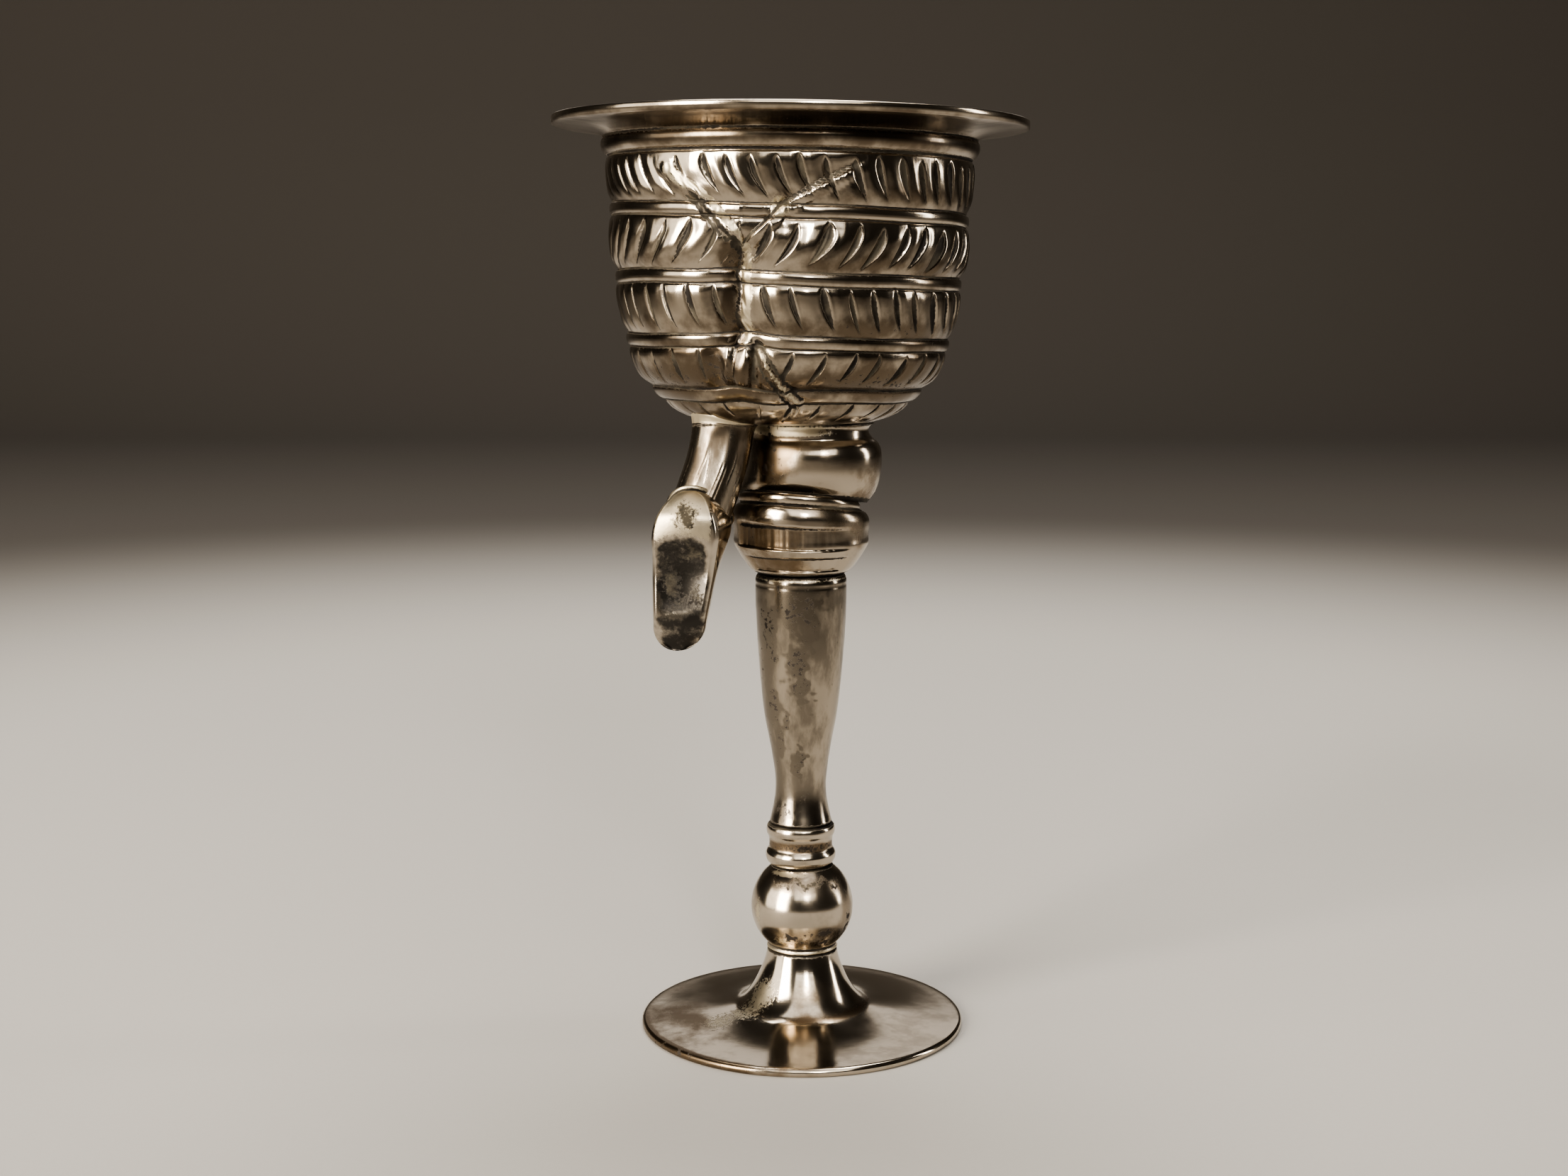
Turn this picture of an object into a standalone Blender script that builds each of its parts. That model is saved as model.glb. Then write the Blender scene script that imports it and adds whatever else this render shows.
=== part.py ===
"""A silver figural goblet, in metres, +Z up, standing on z = 0 under the middle of its rim.

The cup is a pair of slashed breeches seen from behind. One leg is cut short above the knee and
stands on a turned peg; the other hangs free in its stocking and shoe. Lengths in the constants are
in millimetres, heights are measured from the table, and the back of the breeches faces -Y.
"""

import math

import bmesh
import bpy
from mathutils import Vector

MM = 0.001
JOINT_GAP = 0.3

# The cup. Its outline is (radius, height) down the outside, from under the brim to the bottom.
RIM_RADIUS = 45.6
RIM_HEIGHT = 179.0
RIM_EDGE = 1.5
CUP_TILT = math.radians(0.7)
CUP_WALL = 1.1
CUP_STEPS = 48
BRIM_OUTLINE = (
    (44.7, 177.25), (40.8, 176.9), (38.2, 176.4), (36.7, 175.8), (35.9, 175.3),
    (36.1, 174.6), (36.05, 173.6), (35.3, 172.6),
)
CUP_OUTLINE = (
    (35.25, 170.0), (35.0, 166.0), (34.35, 160.85), (34.45, 155.5), (34.1, 152.0),
    (33.3, 148.4), (33.0, 144.5), (32.0, 140.0), (31.1, 136.7), (30.3, 133.6),
    (28.3, 130.0), (25.3, 126.7), (23.0, 124.6), (20.5, 122.95), (16.8, 121.75),
)
CUP_BOTTOM = 121.25
BOTTOM_RADIUS = 12.0
INNER_HEIGHTS = (176.2, 172.6, 161.0, 149.0, 137.0, 128.5, 124.2)

# Each chased band is (height, fall to the right, rise at the back) and runs round as a ribbon
# between two grooves.
BANDS = ((160.85, 0.025, -0.2), (148.4, 0.017, 0.5), (136.7, 0.010, 0.6), (126.7, 0.0, 0.7))
BAND_HALF_WIDTH = 1.3
GROOVE_PLACE = 0.85
GROOVE_DEPTH = 0.45

# The seat of the breeches: a cleft between two rounded halves, and a hip crease up from its top on
# each side. Angles are measured round the cup from -Y towards +X.
CLEFT_ANGLE = math.radians(-14.5)
CLEFT_TOP = 155.0
CLEFT_FOOT = 134.0
CLEFT_DEPTH = 2.3
CLEFT_WIDTH = 3.7
SEAT_SWELL = 0.9
SEAT_SPREAD = 13.0
HIP_RISE = 0.5
HIP_STEP = 1.1

# The stem: (radius, height) down the outside of each turned piece. The stump's -X side reaches
# further out, towards the other leg: (height, reach).
FOOT_X = 2.4
STEM_X = 2.1
STUMP_X = 5.5
STEM_STEPS = 24
STUMP_OUTLINE = (
    (9.4, 120.7), (9.5, 119.6), (10.2, 118.8), (11.4, 117.8), (12.25, 116.2), (12.4, 114.2),
    (12.1, 111.2), (11.0, 108.4), (9.3, 106.75),
)
STUMP_REACH = ((106.75, 15.6), (110.0, 14.6), (114.2, 13.9), (120.7, 13.2))
CUSHION_OUTLINE = (
    (9.6, 106.4), (11.4, 106.0), (12.7, 104.5), (13.4, 102.0), (13.15, 99.8), (13.35, 97.7),
    (12.2, 96.1), (10.6, 93.6), (9.6, 92.5), (8.6, 92.0),
)
CUSHION_STEPS = 28
KNEE_JOINT = 106.4
KNEE_FALL = 0.077
KNEE_RISE = 0.12
PEG_OUTLINE = (
    (7.9, 91.7), (8.7, 91.3), (8.95, 90.3), (8.93, 84.8), (8.6, 78.0), (7.95, 70.2),
    (7.15, 63.2), (6.05, 57.4), (5.25, 52.6), (5.0, 49.8), (5.2, 46.8), (5.75, 43.8),
    (6.15, 42.0), (6.1, 41.65),
)
COLLAR_OUTLINE = (
    (6.1, 41.35), (6.6, 40.9), (6.75, 39.8), (6.5, 38.4), (6.35, 37.0), (6.5, 35.7),
    (6.75, 34.6), (6.45, 33.6), (5.8, 32.95),
)
KNOP_RADIUS = 10.2
KNOP_HEIGHT = 24.4
KNOP_TOP = 32.65
KNOP_FOOT = ((6.65, 16.4), (6.75, 15.75))
KNOP_RINGS = 9

# The foot is one raised sheet: a trumpet that spreads into a flat disc, hollow beneath.
FOOT_OUTLINE = (
    (6.9, 15.45), (7.15, 14.3), (7.75, 12.4), (8.7, 10.4), (9.9, 8.1), (11.7, 5.7),
    (14.3, 3.9), (18.0, 2.65), (23.0, 1.95), (31.4, 1.5), (32.2, 1.1), (32.3, 0.5),
    (31.8, 0.0),
)
FOOT_UNDERSIDE = (
    (25.5, 0.0), (18.0, 1.3), (13.3, 2.9), (10.6, 4.9), (8.1, 8.4), (6.2, 12.6), (5.2, 14.1),
)
FOOT_STEPS = 32

# The stocking runs down from under the cup into the shoe; the points are its middle line.
STOCKING_RADIUS = 5.85
STOCKING_ROUTE = (
    (-12.3, -8.6, 126.0), (-12.8, -9.3, 121.0), (-13.8, -10.4, 115.2), (-15.4, -11.8, 110.0),
    (-17.2, -13.2, 105.0), (-18.6, -14.2, 101.6),
)
STOCKING_POINTS = 9

# The shoe hangs by its ankle, heel up, with its sole to -Y and turned a little to -X.
SHOE_LENGTH = 30.3
SHOE_TOP = (-19.5, -21.6, 109.7)
SHOE_YAW = math.radians(6.0)
SHOE_BEND = 2.1
HEEL_LENGTH = 9.0
HEEL_HALF_WIDTH = 6.75
TOE_LENGTH = 5.0
TOE_HALF_WIDTH = 5.0
SOLE_PROFILE = (
    (0.0, -0.6), (0.2, 1.5), (0.33, 0.9), (0.5, -0.9), (0.72, 0.5), (0.88, -0.4), (1.0, -3.0),
)
INSTEP_PROFILE = ((0.0, 8.5), (0.2, 14.5), (0.4, 12.6), (0.6, 9.0), (0.8, 7.0), (1.0, 4.6))
SOLE_SQUARENESS = 0.62
INSTEP_SQUARENESS = 0.85
SHOE_MIDDLE = 0.35
SHOE_SEGMENTS = 20
SHOE_RINGS = 16
THROAT_POINT = (-16.6, -13.0, 104.4)
THROAT_SLOPE = math.radians(42.0)

SILVER = (0.78, 0.75, 0.70, 1.0)
AGED_SILVER = (0.66, 0.62, 0.56, 1.0)
DARK_SILVER = (0.50, 0.47, 0.43, 1.0)


def clear_scene():
    """Empty the scene."""
    for obj in list(bpy.data.objects):
        bpy.data.objects.remove(obj, do_unlink=True)


def new_collection(name):
    """A collection linked to the scene."""
    collection = bpy.data.collections.new(name)
    bpy.context.scene.collection.children.link(collection)
    return collection


def metal(name, colour, roughness):
    """A Principled metal."""
    material = bpy.data.materials.new(name)
    material.use_nodes = True
    shader = material.node_tree.nodes["Principled BSDF"]
    shader.inputs["Base Color"].default_value = colour
    shader.inputs["Metallic"].default_value = 1.0
    shader.inputs["Roughness"].default_value = roughness
    return material


def add_object(name, mesh, collection, material=None):
    """A mesh object in a collection, with its material."""
    obj = bpy.data.objects.new(name, mesh)
    collection.objects.link(obj)
    if material:
        obj.data.materials.append(material)
    return obj


def hide_cutter(obj):
    """Make an object a cutter."""
    obj.hide_render = True
    obj.display_type = "WIRE"
    return obj


def smooth(obj, angle=math.radians(40)):
    """Shade a finished mesh smooth, with edges above the angle kept sharp."""
    obj.data.shade_smooth()
    obj.data.set_sharp_from_angle(angle=angle)


def turned(name, outline, steps, collection, material=None, turn=0.0):
    """An outline of (radius, height) in mm, top to bottom, turned about Z with a Screw modifier."""
    mesh = bpy.data.meshes.new(name)
    points = [
        (radius * math.cos(turn) * MM, radius * math.sin(turn) * MM, height * MM)
        for radius, height in outline
    ]
    mesh.from_pydata(points, [(i, i + 1) for i in range(len(points) - 1)], [])
    obj = add_object(name, mesh, collection, material)
    screw = obj.modifiers.new("Turn", "SCREW")
    screw.axis = "Z"
    screw.angle = math.tau
    screw.steps = steps
    screw.render_steps = steps
    screw.use_merge_vertices = True
    screw.merge_threshold = 1e-5
    return obj


def freeze(obj):
    """Replace the object's mesh by its evaluated one, so that its points can be shaped."""
    graph = bpy.context.evaluated_depsgraph_get()
    mesh = bpy.data.meshes.new_from_object(obj.evaluated_get(graph))
    mesh.name = obj.name
    obj.modifiers.clear()
    obj.data = mesh
    return obj


def shape(obj, rule):
    """Move every point of a frozen mesh by a rule that takes and gives (x, y, z) in mm."""
    for vertex in obj.data.vertices:
        vertex.co = Vector(rule(*(vertex.co / MM))) * MM


def between(points, value):
    """Linear interpolation in a list of (place, amount) that runs upwards."""
    if value <= points[0][0]:
        return points[0][1]
    for (low, first), (high, second) in zip(points, points[1:]):
        if value <= high:
            return first + (second - first) * (value - low) / (high - low)
    return points[-1][1]


def smoothstep(low, high, value):
    """0 below low, 1 above high and a smooth rise between them."""
    part = min(max((value - low) / (high - low), 0.0), 1.0)
    return part * part * (3.0 - 2.0 * part)


def cup_radius(height):
    """The cup's outer radius at a height, without its bands."""
    upward = [(point[1], point[0]) for point in reversed(BRIM_OUTLINE + CUP_OUTLINE)]
    return between(upward, height)


def pushed_in(height, depth):
    """The (radius, height) of a place on the outline, moved inwards along its normal."""
    step = 1.2
    fall = cup_radius(height + step) - cup_radius(height - step)
    length = math.hypot(2 * step, fall)
    radius = cup_radius(height)
    return radius - depth * 2 * step / length, height + depth * fall / length


def band_outline(height):
    """One band's ribbon between its two grooves, top to bottom."""
    places = ((1, 0.0), (GROOVE_PLACE / BAND_HALF_WIDTH, GROOVE_DEPTH), (0, 0.05))
    above = [pushed_in(height + part * BAND_HALF_WIDTH, depth) for part, depth in places]
    below = [pushed_in(height - part * BAND_HALF_WIDTH, depth) for part, depth in places[:2]]
    return above + below[::-1]


def cup_section():
    """The cup's whole section: up the inside from the axis, over the rim and down the outside."""
    outside = list(BRIM_OUTLINE)
    heights = [band[0] for band in BANDS]
    outside += [p for p in CUP_OUTLINE if all(abs(p[1] - h) > BAND_HALF_WIDTH for h in heights)]
    for height in heights:
        outside += band_outline(height)
    outside.sort(key=lambda point: -point[1])
    inside = [(0.0, CUP_BOTTOM + CUP_WALL), (BOTTOM_RADIUS, CUP_BOTTOM + CUP_WALL + 0.1)]
    inside += [pushed_in(height, CUP_WALL) for height in reversed(INNER_HEIGHTS)]
    inside += [(37.2, 177.5), (40.8, 178.1)]
    rim = [(RIM_RADIUS - 0.3, RIM_HEIGHT), (RIM_RADIUS, RIM_HEIGHT - 0.3)]
    rim += [(RIM_RADIUS, RIM_HEIGHT - RIM_EDGE)]
    return inside + rim + outside + [(BOTTOM_RADIUS, CUP_BOTTOM + 0.05), (0.0, CUP_BOTTOM)]


def band_wander(x, y, height):
    """How far a chased line at this height rises here: it falls to +X and rises to -Y."""
    still = ((CUP_BOTTOM, 0.0), (RIM_HEIGHT - 5.0, 0.0))
    fall = between(sorted([(band[0], band[1]) for band in BANDS] + list(still)), height)
    rise = between(sorted([(band[0], band[2]) for band in BANDS] + list(still)), height)
    return -fall * x - rise * y / RIM_RADIUS


def seat_relief(x, y, height):
    """How far the seat of the breeches stands out of the plain turned cup here."""
    angle = math.atan2(x, -y) - CLEFT_ANGLE
    angle = math.remainder(angle, math.tau)
    across = angle * cup_radius(height)
    below_brim = 1.0 - smoothstep(CLEFT_TOP + 8.0, CLEFT_TOP + 16.0, height)
    above_foot = smoothstep(CLEFT_FOOT - 6.0, CLEFT_FOOT + 4.0, height)
    hips = CLEFT_TOP + HIP_RISE * abs(across)
    in_seat = 1.0 - smoothstep(hips - 2.0, hips + 2.0, height)
    near = math.exp(-((across / (2 * SEAT_SPREAD)) ** 2))
    cleft = -CLEFT_DEPTH / (1.0 + (across / CLEFT_WIDTH) ** 2) * above_foot * in_seat
    swell = SEAT_SWELL * math.exp(-(((abs(across) - SEAT_SPREAD) / (0.6 * SEAT_SPREAD)) ** 2))
    waist = -HIP_STEP * (1.0 - in_seat) * near * below_brim
    return cleft + swell * in_seat * smoothstep(CLEFT_FOOT - 10.0, CLEFT_FOOT + 4.0, height) + waist


def shape_cup(x, y, height):
    """Press the seat into the turned cup and set its bands askew."""
    radius = math.hypot(x, y)
    if radius < BOTTOM_RADIUS + 1.0:
        return x, y, height - RIM_HEIGHT
    below_neck = 1.0 - smoothstep(RIM_HEIGHT - 9.0, RIM_HEIGHT - 5.0, height)
    push = 1.0 + seat_relief(x, y, height) * below_neck / radius
    steady = below_neck * smoothstep(CUP_BOTTOM, CUP_BOTTOM + 3.0, height)
    return x * push, y * push, height - RIM_HEIGHT + band_wander(x, y, height) * steady


def make_bowl(collection):
    """The cup with its brim, bands and seat, hollow and tilted a little to +X."""
    turn = CLEFT_ANGLE - math.pi / 2
    material = metal("Bowl silver", SILVER, 0.22)
    bowl = freeze(turned("bowl", cup_section(), CUP_STEPS, collection, material, turn))
    shape(bowl, shape_cup)
    smooth(bowl)
    bowl.location.z = RIM_HEIGHT * MM
    bowl.rotation_euler.y = CUP_TILT
    return bowl


def make_bowl_cutter(collection):
    """The cup's outside grown by the joint gap, filled, for cutting what is soldered under it."""
    profile = [(0.0, RIM_HEIGHT - 20.0)]
    profile += [(radius + JOINT_GAP, height - JOINT_GAP) for radius, height in CUP_OUTLINE[4:]]
    profile += [(BOTTOM_RADIUS, CUP_BOTTOM - JOINT_GAP), (0.0, CUP_BOTTOM - JOINT_GAP)]
    profile = [(radius, height - RIM_HEIGHT) for radius, height in profile]
    cutter = turned("bowl_clearance", profile, CUP_STEPS, collection)
    cutter.location.z = RIM_HEIGHT * MM
    cutter.rotation_euler.y = CUP_TILT
    return hide_cutter(cutter)


def knee_tilt(x, y):
    """How far the joint between stump and cushion rises here above its middle."""
    return -KNEE_FALL * (x - STEM_X) - KNEE_RISE * y


def closed_outline(outline):
    """An outline with its two ends brought to the axis."""
    return [(0.0, outline[0][1]), *outline, (0.0, outline[-1][1])]


def make_stump(collection):
    """The end of the short leg: round at +X, fuller at -X, cut to the slanting joint below."""
    material = metal("Stump silver", AGED_SILVER, 0.2)
    outline = closed_outline(STUMP_OUTLINE)
    stump = freeze(turned("knee_stump", outline, STEM_STEPS, collection, material))
    rounding = [(height, radius) for radius, height in reversed(STUMP_OUTLINE)]

    def fill_out(x, y, height):
        if x < 0.0:
            x *= between(STUMP_REACH, height) / between(rounding, height)
        lean = 1.0 - smoothstep(KNEE_JOINT, STUMP_OUTLINE[5][1], height)
        return x, y, height + lean * knee_tilt(x + STUMP_X, y)

    shape(stump, fill_out)
    smooth(stump)
    stump.location.x = STUMP_X * MM
    return stump


def make_cushion(collection):
    """The knee cushion: a squat roll with hammered flats, higher at its -X side."""
    material = metal("Cushion silver", AGED_SILVER, 0.25)
    outline = closed_outline(CUSHION_OUTLINE)
    cushion = freeze(turned("knee_cushion", outline, CUSHION_STEPS, collection, material))

    def slant(x, y, height):
        lean = smoothstep(CUSHION_OUTLINE[5][1], CUSHION_OUTLINE[0][1], height)
        return x, y, height + lean * knee_tilt(x + STEM_X, y)

    shape(cushion, slant)
    smooth(cushion, math.radians(25))
    cushion.location.x = STEM_X * MM
    return cushion


def make_peg(collection):
    """The peg leg, a slender turned baluster."""
    material = metal("Peg silver", SILVER, 0.2)
    peg = turned("peg", closed_outline(PEG_OUTLINE), STEM_STEPS, collection, material)
    peg.location.x = STEM_X * MM
    return peg


def make_collar(collection):
    """The double ring under the peg."""
    material = metal("Collar silver", AGED_SILVER, 0.25)
    collar = turned("ring_collar", closed_outline(COLLAR_OUTLINE), STEM_STEPS, collection, material)
    collar.location.x = STEM_X * MM
    return collar


def make_knop(collection):
    """The ball knop above the foot."""
    start = math.asin((KNOP_TOP - KNOP_HEIGHT) / KNOP_RADIUS)
    stop = math.asin((KNOP_FOOT[0][1] + 0.5 - KNOP_HEIGHT) / KNOP_RADIUS)
    angles = [start + (stop - start) * i / (KNOP_RINGS - 1) for i in range(KNOP_RINGS)]
    ball = [
        (KNOP_RADIUS * math.cos(a), KNOP_HEIGHT + KNOP_RADIUS * math.sin(a)) for a in angles
    ]
    outline = closed_outline(ball + list(KNOP_FOOT))
    knop = turned("ball_knop", outline, STEM_STEPS, collection, metal("Knop silver", SILVER, 0.2))
    knop.location.x = FOOT_X * MM
    return knop


def make_foot(collection):
    """The raised foot, its trumpet closed at the top and open beneath."""
    section = closed_outline(FOOT_OUTLINE + FOOT_UNDERSIDE)
    material = metal("Foot silver", SILVER, 0.18)
    foot = turned("foot", section, FOOT_STEPS, collection, material)
    foot.location.x = FOOT_X * MM
    return foot


def route_point(route, part):
    """A place on the smooth curve through a route's points, from 0 at its start to 1 at its end."""
    count = len(route) - 1
    at = min(int(part * count), count - 1)
    local = part * count - at
    points = [Vector(route[min(max(at + i, 0), count)]) for i in (-1, 0, 1, 2)]
    before, start, end, after = points
    linear = (end - before) * 0.5
    square = before - 2.5 * start + 2 * end - 0.5 * after
    cube = 1.5 * (start - end) + 0.5 * (after - before)
    return start + (linear + (square + cube * local) * local) * local


def tube(name, radius, collection, material=None):
    """A round tube along the stocking's route, as a closed mesh."""
    curve = bpy.data.curves.new(name, "CURVE")
    curve.dimensions = "3D"
    curve.bevel_depth = radius * MM
    curve.bevel_resolution = 3
    curve.use_fill_caps = True
    spline = curve.splines.new("POLY")
    spline.points.add(STOCKING_POINTS - 1)
    for i, point in enumerate(spline.points):
        place = route_point(STOCKING_ROUTE, i / (STOCKING_POINTS - 1)) * MM
        point.co = (*place, 1.0)
    guide = add_object(name + "_guide", curve, collection)
    graph = bpy.context.evaluated_depsgraph_get()
    mesh = bpy.data.meshes.new_from_object(guide.evaluated_get(graph))
    bpy.data.objects.remove(guide, do_unlink=True)
    work = bmesh.new()
    work.from_mesh(mesh)
    bmesh.ops.remove_doubles(work, verts=work.verts, dist=1e-6)
    bmesh.ops.recalc_face_normals(work, faces=work.faces)
    work.to_mesh(mesh)
    work.free()
    mesh.name = name
    mesh.materials.clear()
    return add_object(name, mesh, collection, material)


def cut(obj, cutter, operation="DIFFERENCE"):
    """A Boolean with the exact solver."""
    boolean = obj.modifiers.new(cutter.name, "BOOLEAN")
    boolean.operation = operation
    boolean.object = cutter
    return obj


def make_stocking(collection, bowl_cutter):
    """The stockinged leg, cut to the underside of the cup."""
    material = metal("Stocking silver", AGED_SILVER, 0.3)
    leg = tube("stocking_leg", STOCKING_RADIUS, collection, material)
    smooth(leg)
    return cut(leg, bowl_cutter)


def shoe_half_width(down):
    """Half the shoe's width at a distance below the heel's top: round heel, long taper, round toe."""
    if down < HEEL_LENGTH:
        return HEEL_HALF_WIDTH * math.sqrt(max(0.0, 1.0 - (1.0 - down / HEEL_LENGTH) ** 2))
    part = (down - HEEL_LENGTH) / (SHOE_LENGTH - TOE_LENGTH - HEEL_LENGTH)
    taper = HEEL_HALF_WIDTH + (TOE_HALF_WIDTH - HEEL_HALF_WIDTH) * min(part, 1.0)
    left = (SHOE_LENGTH - down) / TOE_LENGTH
    return taper * math.sqrt(max(0.0, 1.0 - (1.0 - left) ** 2)) if left < 1.0 else taper


def shoe_point(across, back, along):
    """A unit sphere's point, poles at heel and toe, carried to the shoe's surface, in mm."""
    part = (1.0 - along) / 2.0
    down = part * SHOE_LENGTH
    width = shoe_half_width(down)
    around = math.atan2(back, across)
    power = SOLE_SQUARENESS if back < 0 else INSTEP_SQUARENESS
    side = math.copysign(abs(math.cos(around)) ** power, across)
    depth = math.copysign(abs(math.sin(around)) ** power, back)
    instep = between(INSTEP_PROFILE, part)
    middle = SHOE_MIDDLE * instep
    reach = instep - middle if back > 0 else middle + between(SOLE_PROFILE, part)
    closing = min(1.0, 1.25 * width / HEEL_HALF_WIDTH)
    x = side * width - SHOE_BEND * part**1.5
    return x, middle + depth * reach * closing, -down


def make_shoe(collection, cutters):
    """The shoe: a drawn-out ball with a shaped sole, cut open at the throat for the ankle."""
    work = bmesh.new()
    bmesh.ops.create_uvsphere(
        work, u_segments=SHOE_SEGMENTS, v_segments=SHOE_RINGS, radius=1.0
    )
    for vertex in work.verts:
        x, y, z = shoe_point(vertex.co.x, vertex.co.y, vertex.co.z)
        turned_x = x * math.cos(SHOE_YAW) + y * math.sin(SHOE_YAW)
        turned_y = y * math.cos(SHOE_YAW) - x * math.sin(SHOE_YAW)
        vertex.co = (Vector(SHOE_TOP) + Vector((turned_x, turned_y, z))) * MM
    throat = Vector((0.0, math.sin(THROAT_SLOPE), math.cos(THROAT_SLOPE)))
    geometry = work.verts[:] + work.edges[:] + work.faces[:]
    cut_place = Vector(THROAT_POINT) * MM
    sliced = bmesh.ops.bisect_plane(
        work, geom=geometry, plane_co=cut_place, plane_no=throat, clear_outer=True
    )
    edges = [part for part in sliced["geom_cut"] if isinstance(part, bmesh.types.BMEdge)]
    bmesh.ops.edgeloop_fill(work, edges=edges)
    bmesh.ops.triangulate(work, faces=work.faces)
    bmesh.ops.recalc_face_normals(work, faces=work.faces)
    mesh = bpy.data.meshes.new("shoe")
    work.to_mesh(mesh)
    work.free()
    shoe = add_object("shoe", mesh, collection, metal("Shoe silver", DARK_SILVER, 0.25))
    smooth(shoe)
    socket = hide_cutter(tube("ankle_socket", STOCKING_RADIUS + JOINT_GAP, cutters))
    return cut(shoe, socket)


def main():
    """Build the goblet."""
    clear_scene()
    chalice = new_collection("Chalice")
    cutters = new_collection("Cutters")
    bowl_cutter = make_bowl_cutter(cutters)
    make_bowl(chalice)
    make_stocking(chalice, bowl_cutter)
    make_shoe(chalice, cutters)
    make_stump(chalice)
    make_cushion(chalice)
    make_peg(chalice)
    make_collar(chalice)
    make_knop(chalice)
    make_foot(chalice)


main()
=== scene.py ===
"""Looks of a silver figural goblet: a chased cup shaped as slashed breeches, on a turned peg leg.

The script's lengths are in millimetres, heights are measured from the table, and the back of the
breeches faces -Y. Angles round the cup are in degrees from -Y towards +X.
"""

import itertools
import logging
import math
from dataclasses import dataclass, replace
from enum import Enum
from typing import Sequence

import bmesh
import bpy
import numpy as np
from mathutils import Matrix, Vector


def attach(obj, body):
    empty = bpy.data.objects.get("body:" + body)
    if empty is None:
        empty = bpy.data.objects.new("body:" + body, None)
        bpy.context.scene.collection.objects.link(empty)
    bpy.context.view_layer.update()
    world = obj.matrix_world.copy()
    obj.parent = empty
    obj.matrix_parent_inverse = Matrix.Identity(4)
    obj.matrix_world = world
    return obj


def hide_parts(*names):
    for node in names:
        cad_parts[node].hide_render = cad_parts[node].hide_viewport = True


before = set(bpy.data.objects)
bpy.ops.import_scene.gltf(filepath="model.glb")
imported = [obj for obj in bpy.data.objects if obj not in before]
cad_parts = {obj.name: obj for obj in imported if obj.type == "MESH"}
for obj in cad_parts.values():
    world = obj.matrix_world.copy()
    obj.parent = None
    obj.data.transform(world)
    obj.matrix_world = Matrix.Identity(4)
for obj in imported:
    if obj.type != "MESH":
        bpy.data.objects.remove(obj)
LOG = logging.getLogger("goblet")

Line = Sequence[tuple[float, float]]
Field = np.ndarray
Colour = tuple[float, float, float]
Place = tuple[float, float, float]
WearAndPaintedLight = tuple[Field, Field, Field]
Socket = bpy.types.NodeSocket

MM = 0.001
BODY = "root"
RIM_HEIGHT = 179.0
CUP_TILT = math.radians(0.7)
STEM_X = 2.1
FOOT_X = 2.4
# The attribute holds grime, solder and stain shares; on the cup, the shoe and the cushion they also carry
# painted shade, painted highlights and painted reflections.
WEAR_AND_PAINTED_LIGHT = "wear_and_painted_light"
WELD = 0.002
TINY = 1e-6
ANYWHERE = math.inf


# Measures and fields.


def smoothstep(low: float, high: float, value: Field) -> Field:
    """A smooth rise from 0 at low to 1 at high.

    Args:
        low: where the rise starts.
        high: where it ends; lower than low for a fall.
        value: where to read it.

    Returns:
        The share at each value, 0 to 1.
    """
    part = np.clip((value - low) / (high - low), 0.0, 1.0)
    return part * part * (3.0 - 2.0 * part)


def between(start: float, rising: float, falling: float, end: float, value: Field) -> Field:
    """A smooth rise from start to rising, then a smooth fall from falling to end."""
    return smoothstep(start, rising, value) * smoothstep(end, falling, value)


def bell(offset: Field, width: float) -> Field:
    """1 at no offset, falling smoothly to nothing over about two widths."""
    return np.exp(-((offset / width) ** 2))


def wrapped(angle: Field) -> Field:
    """Angles in degrees brought between -180 and 180."""
    return (angle + 180.0) % 360.0 - 180.0


def along(line: Line, value: Field) -> Field:
    """Reads a list of (place, amount), in rising order of place, at each value."""
    places, amounts = zip(*line)
    return np.interp(value, places, amounts)


def smooth_along(line: Line, value: Field, spacing: float = 0.01) -> Field:
    """Reads a list of (place, amount) like along, but as a curve without corners."""
    curve = flowing(line, spacing)
    return np.interp(value, curve[:, 0], curve[:, 1])


def grain(places: Field, size: float, shift: float = 0.0) -> Field:
    """Smooth noise, the same at each run.

    Args:
        places: points, one row each, in mm.
        size: the size of one lump in mm.
        shift: moves the pattern, so that two fields differ.

    Returns:
        A value between -1 and 1 for each point.
    """
    lattice = np.random.default_rng(11).uniform(-1.0, 1.0, (32, 32, 32))
    at = places / size + np.array([shift, 1.7 * shift, 2.3 * shift])
    base = np.floor(at).astype(int)
    part = at - base
    part = part * part * (3.0 - 2.0 * part)
    total = np.zeros(len(places))
    for corner in itertools.product((0, 1), repeat=3):
        index = (base + corner) % 32
        weight = np.prod(np.where(corner, part, 1.0 - part), axis=1)
        total = total + weight * lattice[index[:, 0], index[:, 1], index[:, 2]]
    return total


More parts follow.
